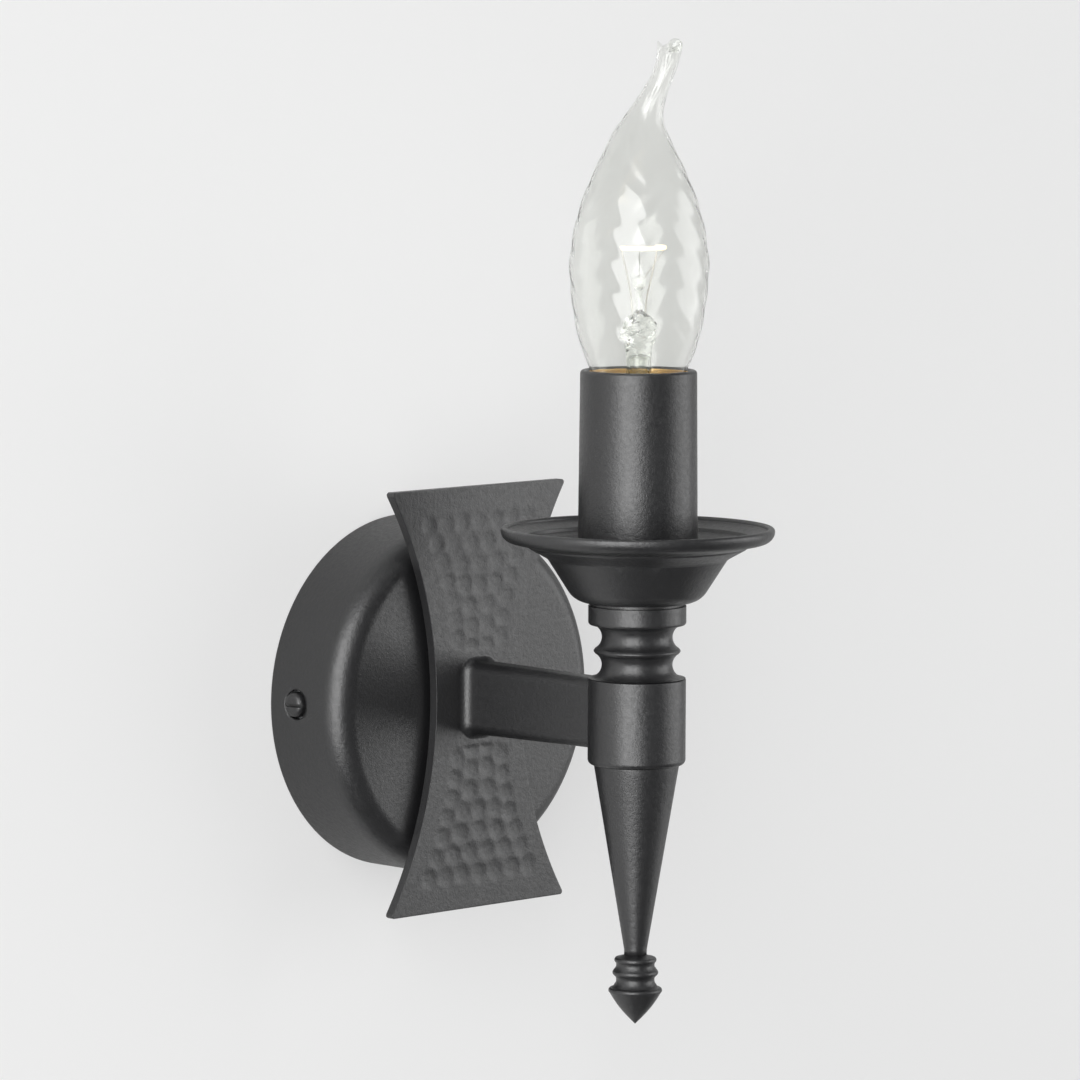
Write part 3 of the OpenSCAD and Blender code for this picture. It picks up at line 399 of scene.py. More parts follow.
def glassFinish(name, glass):
    # clear thin glass: rays bend little in the wall, and the faces mirror softly, more so at a glance:
    # share mirrored = mirror + (edgeMirror - mirror) facing^glance; shadow rays pass straight through
    material, tree, shader = newMaterial(name)
    tree.nodes.remove(shader)
    cords = noiseOn(tree, objectPattern(tree, (1, 1, 0.35)), glass["cordPerMetre"], 2, 0.4)
    normal = bumpOn(tree, cords, glass["bump"], 0.0003)
    through = tree.nodes.new("ShaderNodeBsdfGlass")
    through.inputs["IOR"].default_value = glass["bend"]
    through.inputs["Roughness"].default_value = glass["blur"]
    tree.links.new(rampOn(tree, cords, [(0.3, glass["tint"]), (0.7, glass["paleTint"])]), through.inputs["Color"])
    tree.links.new(normal, through.inputs["Normal"])
    mirror = tree.nodes.new("ShaderNodeBsdfGlossy")
    mirror.inputs["Color"].default_value = (1, 1, 1, 1)
    tree.links.new(spreadOn(tree, cords, glass["roughness"] * 0.8, glass["roughness"] * 1.2),
                   mirror.inputs["Roughness"])
    tree.links.new(normal, mirror.inputs["Normal"])
    facing = tree.nodes.new("ShaderNodeLayerWeight")
    facing.inputs["Blend"].default_value = 0.5
    tree.links.new(normal, facing.inputs["Normal"])
    power = mathOn(tree, "POWER", facing.outputs["Facing"], glass["glance"])
    share = spreadOn(tree, power, glass["mirror"], glass["edgeMirror"], 0, 1)
    body = mixOn(tree, share, through.outputs[0], mirror.outputs[0])
    rays = tree.nodes.new("ShaderNodeLightPath")
    whole = mixOn(tree, rays.outputs["Is Shadow Ray"], body, clearOn(tree, glass["shadowTint"]))
    tree.links.new(whole, tree.nodes["Material Output"].inputs["Surface"])
    return material


lampGlass = glassFinish("lampGlass", {
    "tint": (0.932, 0.935, 0.925),
    "paleTint": (0.96, 0.962, 0.954),
    "bend": 1.05,
    "blur": 0.04,
    "roughness": 0.15,
    "mirror": 0.038,
    "edgeMirror": 0.7,
    "glance": 4,
    "cordPerMetre": 60,
    "bump": 0.06,
    "shadowTint": (0.93, 0.94, 0.93),
})
stemGlass = glassFinish("stemGlass", {
    "tint": (0.93, 0.94, 0.92),
    "paleTint": (0.965, 0.97, 0.96),
    "bend": 1.35,
    "blur": 0,
    "roughness": 0.06,
    "mirror": 0.05,
    "edgeMirror": 0.9,
    "glance": 4,
    "cordPerMetre": 240,
    "bump": 0.3,
    "shadowTint": (0.9, 0.9, 0.9),
})


def filamentFinish():
    # coiled tungsten, glowing softly
    material, tree, shader = newMaterial("filamentGlow")
    cloud = noiseOn(tree, objectPattern(tree), 900, 3)
    tree.links.new(rampOn(tree, cloud, [(0.3, (0.30, 0.27, 0.24)), (0.7, (0.45, 0.40, 0.34))]),
                   shader.inputs["Base Color"])
    shader.inputs["Metallic"].default_value = 1
    tree.links.new(spreadOn(tree, cloud, 0.3, 0.5), shader.inputs["Roughness"])
    shader.inputs["Emission Color"].default_value = (1, 0.84, 0.6, 1)
    shader.inputs["Emission Strength"].default_value = 1.6
    return material


filamentGlow = filamentFinish()


def dress(piece, material, body, replaces=()):
    # gives a new piece its finish and its body, and hides the CAD nodes that it stands for
    piece.data.materials.append(material)
    if material is graphiteCoat:
        # large faces keep their own normal, and the narrow ones at the edges take the turn
        turn = piece.modifiers.new("faceNormals", "WEIGHTED_NORMAL")
        turn.weight = 60
    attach(piece, body)
    if replaces:
        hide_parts(*replaces)
    return piece


print("finishes ready")


# canopy

canopy = {
    "diameter": 91.5,
    "depth": 25.3,
    "sheet": 1.0,
    "edgeRound": 6.3,
    "hem": 0.28,
    "drop": 0.6,
    "sideHole": 7.7,
    "sideHoleOut": 9.4,
}


def sheetOutline(c, radius, edgeRound, top):
    # outline (radius r, distance from the wall d) of one skin: a small hem, the wall, the rounded edge, the face
    hem, turn = c["hem"], c["depth"] - c["edgeRound"]
    inward = radius < c["diameter"] / 2
    hemX, hemArc = (radius + hem, (240, 180)) if inward else (radius - hem, (-60, 0))
    return joined([[hemX, 0.0]], arcPoints(hemX, hem, hem, *hemArc, 3),
                  resampled([[radius, hem], [radius, turn]], 0.4, False)[1:],
                  arcPoints(radius - edgeRound, turn, edgeRound, 0, 90, 20)[1:],
                  resampled([[radius - edgeRound, top], [0.4, top]], 4.0, False)[1:])


def edgeWall(edge, firstSide, secondSide, sides, n):
    # faces between the two skins along the grid edges that edge marks; each side is (rows down, columns on)
    j, i = np.nonzero(edge)
    first, second = [(j + down) * sides + (i + on) % sides for down, on in (firstSide, secondSide)]
    return np.stack([first, second, second + n, first + n], -1)


def makeCanopy(c):
    # both skins turned round the axis that points out of the wall: x = r cos(a), y = -d, z = r sin(a) - drop;
    # a hole in each side is opened in the grid, and the points round it are drawn onto its circle
    outer = c["diameter"] / 2
    outside = sheetOutline(c, outer, c["edgeRound"], c["depth"])
    inside = sheetOutline(c, outer - c["sheet"], c["edgeRound"] - c["sheet"], c["depth"] - c["sheet"])
    rows, sides = min(len(outside), len(inside)), 600
    outR, outAway = outside[:rows, 0:1], outside[:rows, 1:2] + np.zeros((rows, sides))
    inR, inAway = inside[:rows, 0:1], inside[:rows, 1:2] + np.zeros((rows, sides))
    a = np.linspace(0, 2 * np.pi, sides, endpoint=False)
    # across and along the wall, measured from the middle of the nearer hole
    centre = np.where(np.cos(a) > 0, 0, np.pi)
    hand = np.where(centre == 0, 1, -1)
    across = outer * np.sin((a - centre + np.pi) % (2 * np.pi) - np.pi) * hand - c["drop"] + np.zeros((rows, 1))
    along = outAway - c["sideHoleOut"]
    far, holeR = np.hypot(across, along), c["sideHole"] / 2
    inHole = far < holeR
    pair = inHole | np.roll(inHole, -1, 1)
    opened = pair[:-1] | pair[1:]
    keep = ~opened
    touches = np.zeros((rows, sides), bool)
    for shifted in (opened, np.roll(opened, 1, 1)):
        touches[:-1] |= shifted
        touches[1:] |= shifted
    rim = touches & ~inHole
    scale = np.where(rim, holeR / np.maximum(far, 1e-6), 1)
    sine = np.clip((across * scale + c["drop"]) / outer * hand, -1, 1)
    around = np.where(rim, centre + np.arcsin(sine), a)
    outAway = np.where(rim, along * scale + c["sideHoleOut"], outAway)
    inAway = np.where(rim, along * scale + c["sideHoleOut"], inAway)
    skins = [np.stack([r * np.cos(around), -d, r * np.sin(around) - c["drop"]], -1).reshape(-1, 3)
             for r, d in ((outR, outAway), (inR, inAway))]
    points = np.vstack(skins)
    n = rows * sides
    j, i = np.nonzero(keep)
    here, beside = j * sides + i, j * sides + (i + 1) % sides
    skinOut = np.stack([here, beside, beside + sides, here + sides], -1)
    skinIn = skinOut[:, [0, 3, 2, 1]] + n
    # walls between the skins along every open edge: the hem and the edges of the holes
    padded = np.zeros((rows + 1, sides), bool)
    padded[1:rows] = keep
    low = edgeWall(padded[1:] & ~padded[:-1], (0, 1), (0, 0), sides, n)
    top = edgeWall(padded[:-1] & ~padded[1:], (0, 0), (0, 1), sides, n)
    left = edgeWall(keep & ~np.roll(keep, 1, 1), (0, 0), (1, 0), sides, n)
    right = edgeWall(keep & ~np.roll(keep, -1, 1), (1, 1), (0, 1), sides, n)
    quads = np.vstack([skinOut, skinIn, low, top, left, right])
    used = np.unique(quads)
    number = np.full(len(points), -1)
    number[used] = np.arange(len(used))
    return putMesh("canopyShell", points[used] * mm, number[quads])


dress(makeCanopy(canopy), graphiteCoat, "fixture", ["canopy"])
print("canopy made")


# hammered plate

plate = {
    "height": 108.6,
    "endWidth": 62.0,
    "waistWidth": 30.0,
    "thickness": 2.5,
    "back": -26.6,
    "cornerRound": 1.2,
    "edgeRound": 0.1,
    "markPitch": 5.85,
    "markWidth": 6.5,
    "markDepth": 0.18,
    "markFlat": 0.25,
    "markMargin": 8.2,
    "markStart": 12.6,
    "markBow": 2.8,
    "rowStep": 5.45,
    "rowsEachSide": 7,
    "placeError": 0.22,
    "depthSpread": 0.22,
    "widthSpread": 0.06,
    "upperDepth": 0.8,
    "wave": 0.025,
    "footHalf": (7.3, 11.8),
    "footFade": 1.2,
}


def plateHalf(p, z):
    # half width at height z: a circular arc, narrowest at the waist
    sag = (p["endWidth"] - p["waistWidth"]) / 2
    arcR = ((p["height"] / 2) ** 2 + sag ** 2) / (2 * sag)
    return p["waistWidth"] / 2 + arcR - np.sqrt(arcR ** 2 - np.asarray(z, float) ** 2)


def plateMarks(p):
    # rows of marks that follow the flare, the ones near the arm curled round it: x = half t and
    # z = side (start + step k + bow t^2); the hand leaves small errors of place
    places = []
    for side in (1, -1):
        for k in range(p["rowsEachSide"]):
            z = p["markStart"] + k * p["rowStep"]
            half = float(plateHalf(p, z)) - p["markMargin"]
            n = max(2, round(2 * half / p["markPitch"]))
            t = 2 * np.arange(n + 1) / n - 1
            bow = p["markBow"] * (1 - k / (p["rowsEachSide"] - 1))
            places.append(np.stack([half * t, side * (z + bow * t * t)], -1))
    marks = np.vstack(places)
    marks[:, 0] += p["placeError"] * scatter(3, len(marks))
    marks[:, 1] += p["placeError"] * scatter(4, len(marks))
    return marks


def makePlate(p):
    # front face: x = u half(z), y = front + dent(x, z) over a grid of u and z; the dent of one mark is flat
    # to markFlat of its radius and eases to nothing at the radius, and the deepest mark at a point counts
    rows, cols = 284, 152
    half = p["height"] / 2
    edge = p["edgeRound"]
    v = np.linspace(-1, 1, rows)[:, None]
    u = np.linspace(-1, 1, cols)[None, :]
    z = v * (half - edge) + 0 * u
    width = plateHalf(p, z) - edge
    # the corners of the outline are rounded by drawing the sides in near the ends
    near = np.clip((np.abs(z) - (half - edge - p["cornerRound"])) / p["cornerRound"], 0, 1)
    width = width - p["cornerRound"] * (1 - np.sqrt(1 - near ** 2 * 0.98))
    x = u * width
    front = p["back"] - p["thickness"]
    marks = plateMarks(p)
    depth = p["markDepth"] * (1 + p["depthSpread"] * scatter(5, len(marks)))
    depth = depth * np.where(marks[:, 1] > 0, p["upperDepth"], 1.0)
    radius = p["markWidth"] / 2 * (1 + p["widthSpread"] * scatter(6, len(marks)))
    flat = np.stack([x.ravel(), z.ravel()], -1)
    dent = np.zeros(len(flat))
    for m, d, r in zip(marks, depth, radius):
        far = np.hypot(flat[:, 0] - m[0], flat[:, 1] - m[1]) / r
        dent = np.maximum(dent, d * (1 - smoothStep((far - p["markFlat"]) / (1 - p["markFlat"]))))
    wave = p["wave"] * np.abs(np.sin(flat[:, 0] * 0.21 + 0.7) * np.sin(flat[:, 1] * 0.16 + 0.4))
    # the face lies flat where the foot of the arm meets it
    beyond = np.maximum(np.abs(flat) - p["footHalf"], 0)
    y = (front + (dent + wave) * smoothStep(np.hypot(*beyond.T) / p["footFade"])).reshape(rows, cols)
    frontGrid = np.stack([x, y, z], -1)
    backGrid = np.stack([x, np.full_like(x, p["back"]), z], -1)
    # the border of the face, once round, counter-clockwise seen from the front
    loop = np.concatenate([np.arange(cols), np.arange(1, rows) * cols + cols - 1,
                           (rows - 1) * cols + np.arange(cols - 2, -1, -1),
                           np.arange(rows - 2, 0, -1) * cols])
    border = frontGrid.reshape(-1, 3)[loop]
    along = np.roll(border, -1, 0) - np.roll(border, 1, 0)
    away = np.stack([along[:, 2], np.zeros(len(loop)), -along[:, 0]], -1)
    away /= np.linalg.norm(away, axis=1, keepdims=True)
    steps, inward = np.radians([18, 36, 54, 72, 90]), np.array([0, 1, 0])
    backBorder = border.copy()
    backBorder[:, 1] = p["back"]
    rings = [border + away * edge * np.sin(s) + inward * edge * (1 - np.cos(s)) for s in steps]
    rings += [backBorder + away * edge * np.sin(s) - inward * edge * (1 - np.cos(s)) for s in steps[::-1]]
    n = rows * cols
    m = len(loop)
    points = np.vstack([frontGrid.reshape(-1, 3), backGrid.reshape(-1, 3)] + rings)
    faceQuads = gridQuads(rows, cols, wrapCols=False)
    backQuads = faceQuads[:, ::-1] + n
    chain = [loop] + [2 * n + k * m + np.arange(m) for k in range(len(rings))] + [loop + n]
    walls = [np.stack([a, b, np.roll(b, -1), np.roll(a, -1)], -1) for a, b in zip(chain[:-1], chain[1:])]
    return putMesh("hammeredFace", points * mm, np.vstack([faceQuads, backQuads] + walls))


dress(makePlate(plate), graphiteCoat, "fixture", ["hammered_plate"])
print("plate hammered")


# arm

arm = {
    "widthRoot": 9.6,
    "heightRoot": 18.7,
    "widthEnd": 8.6,
    "heightEnd": 17.8,
    "edgeRound": 3.0,
    "rootFillet": 2.6,
    "saddleFillet": 1.0,
    "collarRadius": 12.25,
    "start": -29.08,
    "intoCollar": 0.15,
    "rootUp": 0.6,
}


def roundedSection(width, height, radius, perCorner=10):
    # rounded rectangle, once round from the top middle, clockwise seen from the front: corner centres plus
    # an arc of the corner radius; width, height and radius may be columns, one row for each ring
    a = np.linspace(90, 0, perCorner + 1)
    angle = np.radians(np.concatenate([a, a - 90, a - 180, a - 270]))
    cornerX = np.repeat([1, 1, -1, -1], perCorner + 1)
    cornerZ = np.repeat([1, -1, -1, 1], perCorner + 1)
    x = cornerX * (width / 2 - radius) + radius * np.cos(angle)
    z = cornerZ * (height / 2 - radius) + radius * np.sin(angle)
    return x, z


def makeArm(a):
    # a rounded section carried from the plate to the collar: its size falls evenly, each side swells by
    # fillet (1 - sin s) over the last stretch at each end, and the top and bottom by rootUp of that; the far
    # end lies on the collar's cylinder
    steps = 64
    length = reach - a["collarRadius"] + a["start"]
    s = np.radians(np.linspace(0, 90, 12))
    rootY, rootGrow = a["rootFillet"] * (1 - np.cos(s)), a["rootFillet"] * (1 - np.sin(s))
    saddleY, saddleGrow = a["saddleFillet"] * (1 - np.cos(s)), a["saddleFillet"] * (1 - np.sin(s))
    along = np.concatenate([rootY, np.linspace(a["rootFillet"], length - a["saddleFillet"], steps)[1:-1],
                            (length - saddleY)[::-1]])
    grow = np.concatenate([rootGrow, np.zeros(steps - 2), saddleGrow[::-1]])[:, None]
    share = (along / length)[:, None]
    width = a["widthRoot"] + (a["widthEnd"] - a["widthRoot"]) * share + 2 * grow
    height = a["heightRoot"] + (a["heightEnd"] - a["heightRoot"]) * share + 2 * a["rootUp"] * grow
    x, z = roundedSection(width, height, a["edgeRound"] + grow)
    seat = a["collarRadius"] - a["intoCollar"]
    y = a["start"] + (np.sqrt(seat ** 2 - x ** 2) - reach - a["start"]) * share
    return cappedMesh("armBar", np.stack([x, y, z], -1) * mm, (0, a["start"] * mm, 0), (0, (seat - reach) * mm, 0))


dress(makeArm(arm), graphiteCoat, "fixture", ["arm"])
print("arm made")


# collar, cone, finial and turned neck

turned = {
    "collarRadius": 12.25,
    "collarUp": 9.85,
    "collarDown": 11.8,
    "cavity": 8.0,
    "web": 6.0,
    "tubeHole": 5.05,
    "neckHeight": 18.35,
    "coveMin": 8.85,
    "coveRound": 3.3,
    "bead": 10.85,
    "disc": 4.9,
    "coneHeight": 46.8,
    "coneTop": 10.7,
    "coneEnd": 2.85,
    "coneFoot": 1.28,
    "spigot": 6.0,
    "finialRing": 5.3,
    "finialPoint": 6.75,
    "finialDip": 0.45,
}


def makeCollar(d):
    # ring outline: bore, web and cavity inside, a rounded lower edge outside
    r, up, down = d["collarRadius"], d["collarUp"], -d["collarDown"]
    profile = joined([[d["tubeHole"], up], [d["tubeHole"], up - d["web"]], [d["cavity"], up - d["web"]],
                      [d["cavity"], down], [d["coneTop"] + 0.05, down]],
                     arcPoints(r - 1.4, down + 1.4, 1.4, -70, 0, 8), [[r, up]])
    soft = np.full(len(profile), 0.05)
    soft[[0, -1]] = 0.1, 0.4
    return revolved("collarRing", resampled(softened(profile, soft, 4), 1.2), 180)


def makeCone(d):
    # straight taper from coneTop to coneEnd, with a spigot up into the collar and a short foot below
    top = -d["collarDown"]
    end = top - d["coneHeight"]
    spigot, foot = d["cavity"] - 0.05, end - d["coneFoot"]
    profile = joined([[0, top + d["spigot"]], [spigot, top + d["spigot"]], [spigot, top],
                      [d["coneTop"] - 0.1, top]],
                     resampled([[d["coneTop"] - 0.02, top - 0.1], [d["coneEnd"], end]], 1.5, False),
                     [[d["coneEnd"], foot], [0, foot]])
    return revolvedSolid("coneTaper", profile, 160)


def makeFinial(d):
    # heights run down from the cone's foot: two rounded rings with shallow coves between them, a flare, and
    # a point whose side bows out by a sine
    low = -d["collarDown"] - d["coneHeight"] - 1.3
    ring, point, dip = d["finialRing"], d["finialPoint"], d["finialDip"]
    t = np.linspace(0, 1, 40)
    spike = np.stack([(point - 0.25) * (1 - t) + 0.55 * np.sin(np.pi * t), -9.5 - 8.1 * t], -1)
    spike[:, 0] = np.maximum(spike[:, 0], 0)
    profile = joined([[0, 0], [2.85, 0], [3.65, -0.5]],
                     arcPoints(ring - 0.7, -1.3, 0.7, 70, -50, 10),
                     [[ring - dip, -2.15], [ring - dip - 0.05, -2.6], [ring - dip, -3]],
                     arcPoints(ring - 0.35, -4.5, 0.8, 50, -50, 12),
                     [[ring - dip, -5.75], [ring - dip - 0.04, -6.3], [ring - dip, -6.9], [ring + 0.3, -8.05]],
                     arcPoints(point - 0.7, -9, 0.7, 90, -30, 10), spike[1:-1], [[0, -17.6]])
    return revolvedSolid("finialTurned", profile + np.array([0, low]), 160)


def makeNeck(d):
    # two coves, each an arc of coveRound round coveX, meet in the narrow bead; a disc stands on top
    base, top = d["collarUp"], d["collarUp"] + d["neckHeight"]
    r = d["collarRadius"]
    coveX = d["coveMin"] + d["coveRound"]
    low = base + 0.15 + d["coveRound"]
    high = top - d["disc"] - d["coveRound"] + 0.25
    middle = (low + high) / 2
    outside = joined([[r - 0.4, base]], arcPoints(coveX, low, d["coveRound"], 270, 120, 40),
                     [[d["bead"], middle - 0.15], [d["bead"], middle + 0.15]],
                     arcPoints(coveX, high, d["coveRound"], 240, 113, 36),
                     [[r - 0.8, top - d["disc"]]],
                     arcPoints(r - 0.8, top - d["disc"] + 0.8, 0.8, -60, 0, 6),
                     [[r, top]])
    profile = joined([[d["tubeHole"], base]], outside, [[d["tubeHole"], top]])
    soft = np.full(len(profile), 0.02)
    soft[[1, -2]] = 0.15
    bead = np.argmin(np.abs(profile[:, 1] - middle + 0.15) + np.abs(profile[:, 0] - d["bead"]))
    soft[bead] = soft[bead + 1] = 0.12
    return revolved("neckTurned", resampled(softened(profile, soft, 3), 1.0), 180)


dress(makeCollar(turned), graphiteCoat, "fixture", ["collar"])
dress(makeCone(turned), graphiteCoat, "fixture", ["cone"])
dress(makeFinial(turned), graphiteCoat, "fixture", ["finial"])
dress(makeNeck(turned), graphiteCoat, "fixture", ["turned_neck"])
print("torch turned")


# drip cup and candle sleeve

cup = {
    "foot": 28.95,
    "rimRadius": 34.2,
    "height": 18.85,
    "wall": 1.2,
    "bowlRadius": 22.4,
    "bowlRound": 6.0,
    "stepRadius": 28.3,
    "slope": 57.4,
    "wallTop": 10.74,
    "tubeHole": 5.05,
    "lip": 0.9,
    "roll": 2.9,
}


def makeCup(c):
    # spun dish: flat floor, rounding, straight slope, stepped flange and a rolled rim
    rim, lip, roll, w, curve = c["rimRadius"], c["lip"], c["roll"], c["wall"], c["bowlRound"]
    rimZ = c["height"] - lip
    wallR, wallZ, ledge = c["bowlRadius"], c["wallTop"], c["stepRadius"] - 0.8
    tilt = math.radians(c["slope"])
    flat = (wallR - curve * math.cos(tilt - math.pi / 2)
            - (wallZ - curve * (1 + math.sin(tilt - math.pi / 2))) / math.tan(tilt))
    under = joined([[c["tubeHole"], 0]], arcPoints(flat, curve, curve, -90, c["slope"] - 90, 24),
                   [[wallR, wallZ], [wallR + 0.7, wallZ + 0.55], [ledge - 0.3, rimZ - 4.4],
                    [ledge + 0.1, rimZ - 3.9]],
                   arcPoints(rim - roll, rimZ, roll, -90, 0, 20),
                   arcPoints(rim - lip, rimZ, lip, 20, 180, 18),
                   [[rim - 2 * lip - 0.5, rimZ - 0.35], [c["stepRadius"] + 0.2, rimZ - 1.6],
                    [c["stepRadius"] - 0.1, rimZ - 2.5], [ledge - 1, rimZ - 3.3],
                    [wallR + 2.2, wallZ + 2.6], [wallR - w * 0.84, wallZ + w * 0.54]],
                   arcPoints(flat, curve, curve - w, c["slope"] - 90, -90, 20), [[c["tubeHole"], w]])
    return revolved("dripCup", resampled(softened(under, 0.12, 3), 1.0) + np.array([0, c["foot"]]), 200)


dress(makeCup(cup), graphiteCoat, "fixture", ["drip_cup"])

sleeve = {
    "foot": 31.0,
    "mouth": 87.0,
    "footRadius": 15.05,
    "topRadius": 14.55,
    "mouthRadius": 12.6,
    "wall": 1.0,
    "liningBelow": 1.15,
    "liningRadius": 13.93,
}


def makeSleeve(s):
    # tube with a rolled mouth; inside, below the roll, the brass of the tube is left bare, and that lining's deep
    # warm orange is partly painted light: it stands in for the warm glow of the lit lamp on the inner lip
    edge = (s["topRadius"] - s["mouthRadius"]) * 0.45
    lipLow = s["mouth"] - 2 * edge - 0.6
    outline = joined([[s["footRadius"] - s["wall"], s["foot"]], [s["footRadius"], s["foot"]]],
                     arcPoints(s["topRadius"] - edge, s["mouth"] - edge, edge, 0, 90, 12),
                     arcPoints(s["mouthRadius"] + edge, s["mouth"] - edge, edge, 90, 180, 12),
                     [[s["mouthRadius"], lipLow], [s["topRadius"] - s["wall"], lipLow - 0.8]])
    piece = revolved("candleSleeve", resampled(softened(outline, 0.2, 3), 1.0), 200)
    mesh = piece.data
    spots = np.empty(3 * len(mesh.polygons))
    mesh.polygons.foreach_get("center", spots)
    spots = spots.reshape(-1, 3)
    far = np.hypot(spots[:, 0] - torchAxis[0], spots[:, 1] - torchAxis[1]) / mm
    height = spots[:, 2] / mm
    # faces of the bare brass lining, whose warm orange also carries the painted glow of the lit lamp
    liningAndGlow = (far < s["liningRadius"]) & (height < s["mouth"] - s["liningBelow"])
    liningAndGlow |= (far < s["mouthRadius"] + 0.3) & (height < s["mouth"] - s["liningBelow"] * 0.5)
    mesh.polygons.foreach_set("material_index", liningAndGlow.astype(np.int32))
    return piece


sleevePiece = dress(makeSleeve(sleeve), graphiteCoat, "fixture", ["candle_sleeve"])
# the lining's finish: bare brass with the lamp's warm glow painted into its colour
sleevePiece.data.materials.append(metal["bareBrassAndGlow"])
print("cup and sleeve spun")


# lamp

lamp = {
    "glassFoot": 69.5,
    "glassHeight": 99.9,
    "belly": 17.45,
    "wall": 0.6,
    "flutes": 12,
    "fluteDepth": 0.18,
    "fluteInside": 0.2,
    "fluteTurn": -375,
    "lean": 7.2,
    "leanWay": (0.71, -0.70),
    "notch": 2.4,
    "hollowTo": 0.985,
    "form": [(0, 0.385), (0.03, 0.436), (0.065, 0.47), (0.115, 0.55), (0.175, 0.695), (0.23, 0.82),
             (0.26, 0.87), (0.32, 0.94), (0.38, 0.98), (0.43, 1), (0.51, 0.95), (0.6, 0.815), (0.66, 0.675),
             (0.71, 0.54), (0.76, 0.4), (0.79, 0.315), (0.82, 0.25), (0.85, 0.208), (0.88, 0.18), (0.91, 0.165),
             (0.94, 0.165), (0.965, 0.178), (0.985, 0.178), (0.995, 0.16), (1, 0.0)],
}


def smoothCurve(xs, ys, at):
    # cubic through the given points, with slopes that don't overshoot (monotone Hermite)
    xs, ys, at = np.asarray(xs, float), np.asarray(ys, float), np.asarray(at, float)
    h = np.diff(xs)
    d = np.diff(ys) / h
    between = np.where(d[1:] * d[:-1] > 0, 2 * d[1:] * d[:-1] / (d[1:] + d[:-1] + 1e-12), 0)
    m = np.concatenate([[d[0]], between, [d[-1]]])
    k = np.clip(np.searchsorted(xs, at, side="right") - 1, 0, len(h) - 1)
    t = (at - xs[k]) / h[k]
    return ((2 * t ** 3 - 3 * t ** 2 + 1) * ys[k] + (t ** 3 - 2 * t ** 2 + t) * h[k] * m[k]
            + (-2 * t ** 3 + 3 * t ** 2) * ys[k + 1] + (t ** 3 - t ** 2) * h[k] * m[k + 1])


def leanAt(g, t):
    # where the axis of the glass runs at height t: lean smoothStep((t - 0.755) / 0.22) along leanWay
    lean = g["lean"] * smoothStep((t - 0.755) / 0.22)
    return g["leanWay"][0] * lean, g["leanWay"][1] * lean - reach


def glassSkin(g, t, sides, fluteDepth):
    # radius = form(t) belly - depth (0.5 - 0.5 cos(flutes (angle - turn t))), where depth rises and falls as
    # a sine over the belly, is half of itself along the neck and ends below the tip; the axis leans near the
    # tip, and the pinched end sinks by notch (1 - share^2 cos^2) between its two horns
    a = np.linspace(0, 2 * np.pi, sides, endpoint=False)[None, :]
    t = np.asarray(t, float)[:, None]
    form = smoothCurve(*zip(*g["form"]), t)
    swell = np.sin(np.pi * np.clip((t - 0.08) / 0.8, 0, 1))
    depth = fluteDepth * np.maximum(swell, 0.5 * smoothStep((t - 0.5) / 0.3)) * smoothStep((0.975 - t) / 0.03)
    swirl = g["flutes"] * (a - np.radians(g["fluteTurn"]) * t)
    r = np.maximum(form * g["belly"] - depth * (0.5 - 0.5 * np.cos(swirl)), 0.02)
    x, y = leanAt(g, t)
    share = np.clip(r / (0.178 * g["belly"]), 0, 1)
    sink = g["notch"] * smoothStep((t - 0.95) / 0.05) * (1 - share ** 2 * np.cos(a + np.radians(44.7)) ** 2)
    return np.stack([r * np.cos(a) + x, r * np.sin(a) + y, g["glassFoot"] + g["glassHeight"] * t - sink], -1)


def hollowMesh(name, outer, inner, tip, cave):
    # two skins of rings, joined round the open foot and closed in one point each at the top
    sides = outer.shape[1]
    rowsOut, rowsIn = len(outer), len(inner)
    points = np.vstack([outer.reshape(-1, 3), inner.reshape(-1, 3), [tip], [cave]])
    c, c2 = np.arange(sides), (np.arange(sides) + 1) % sides
    n = (rowsOut + rowsIn) * sides
    inQuads = gridQuads(rowsIn, sides, first=rowsOut * sides)[:, ::-1]
    foot = np.stack([c2, c, rowsOut * sides + c, rowsOut * sides + c2], -1)
    tris = np.vstack([fan(n, (rowsOut - 1) * sides, sides, upward=True), fan(n + 1, n - sides, sides)])
    return putMesh(name, points * mm, np.vstack([gridQuads(rowsOut, sides), inQuads, foot]), tris)


def makeGlass(g):
    # the inner skin stays one wall inside the outer one and rounds off just below the tip
    sides = 240
    last = g["hollowTo"]
    outT = np.concatenate([np.linspace(0, 0.95, 190, endpoint=False),
                           0.95 + 0.05 * np.sin(np.linspace(0, np.pi / 2, 22))])
    inT = np.concatenate([np.linspace(0, last - 0.03, 170, endpoint=False),
                          last - 0.03 + 0.03 * np.sin(np.linspace(0, np.pi / 2, 14))])
    outer = glassSkin(g, outT[:-1], sides, g["fluteDepth"])
    inner = glassSkin(g, inT[:-1], sides, g["fluteInside"])
    dome = np.sqrt(1 - np.clip((inT[:-1] - last + 0.03) / 0.03, 0, 0.9995) ** 2)[:, None, None]
    x, y = leanAt(g, inT[:-1])
    axis = np.stack([x, y, g["glassFoot"] + g["glassHeight"] * inT[:-1]], -1)[:, None]
    away = (inner - axis) * np.array([1, 1, 0])
    size = np.linalg.norm(away, axis=-1, keepdims=True)
    inner = inner - away + away / size * np.maximum((size - g["wall"]) * dome, 0.03)
    tip = glassSkin(g, [1.0], sides, 0)[0].mean(axis=0)
    cave = inner[-1].mean(axis=0) + np.array([0, 0, 0.02])
    return hollowMesh("flameGlass", outer, inner, tip, cave)


dress(makeGlass(lamp), lampGlass, "lamp", ["bulb_glass"])

tipBead = {
    "radius": 1.8,
    "flatness": 0.94,
    "way": (0.711, -0.703),
    "sideways": 1.4,
    "belowTop": 2.0,
}


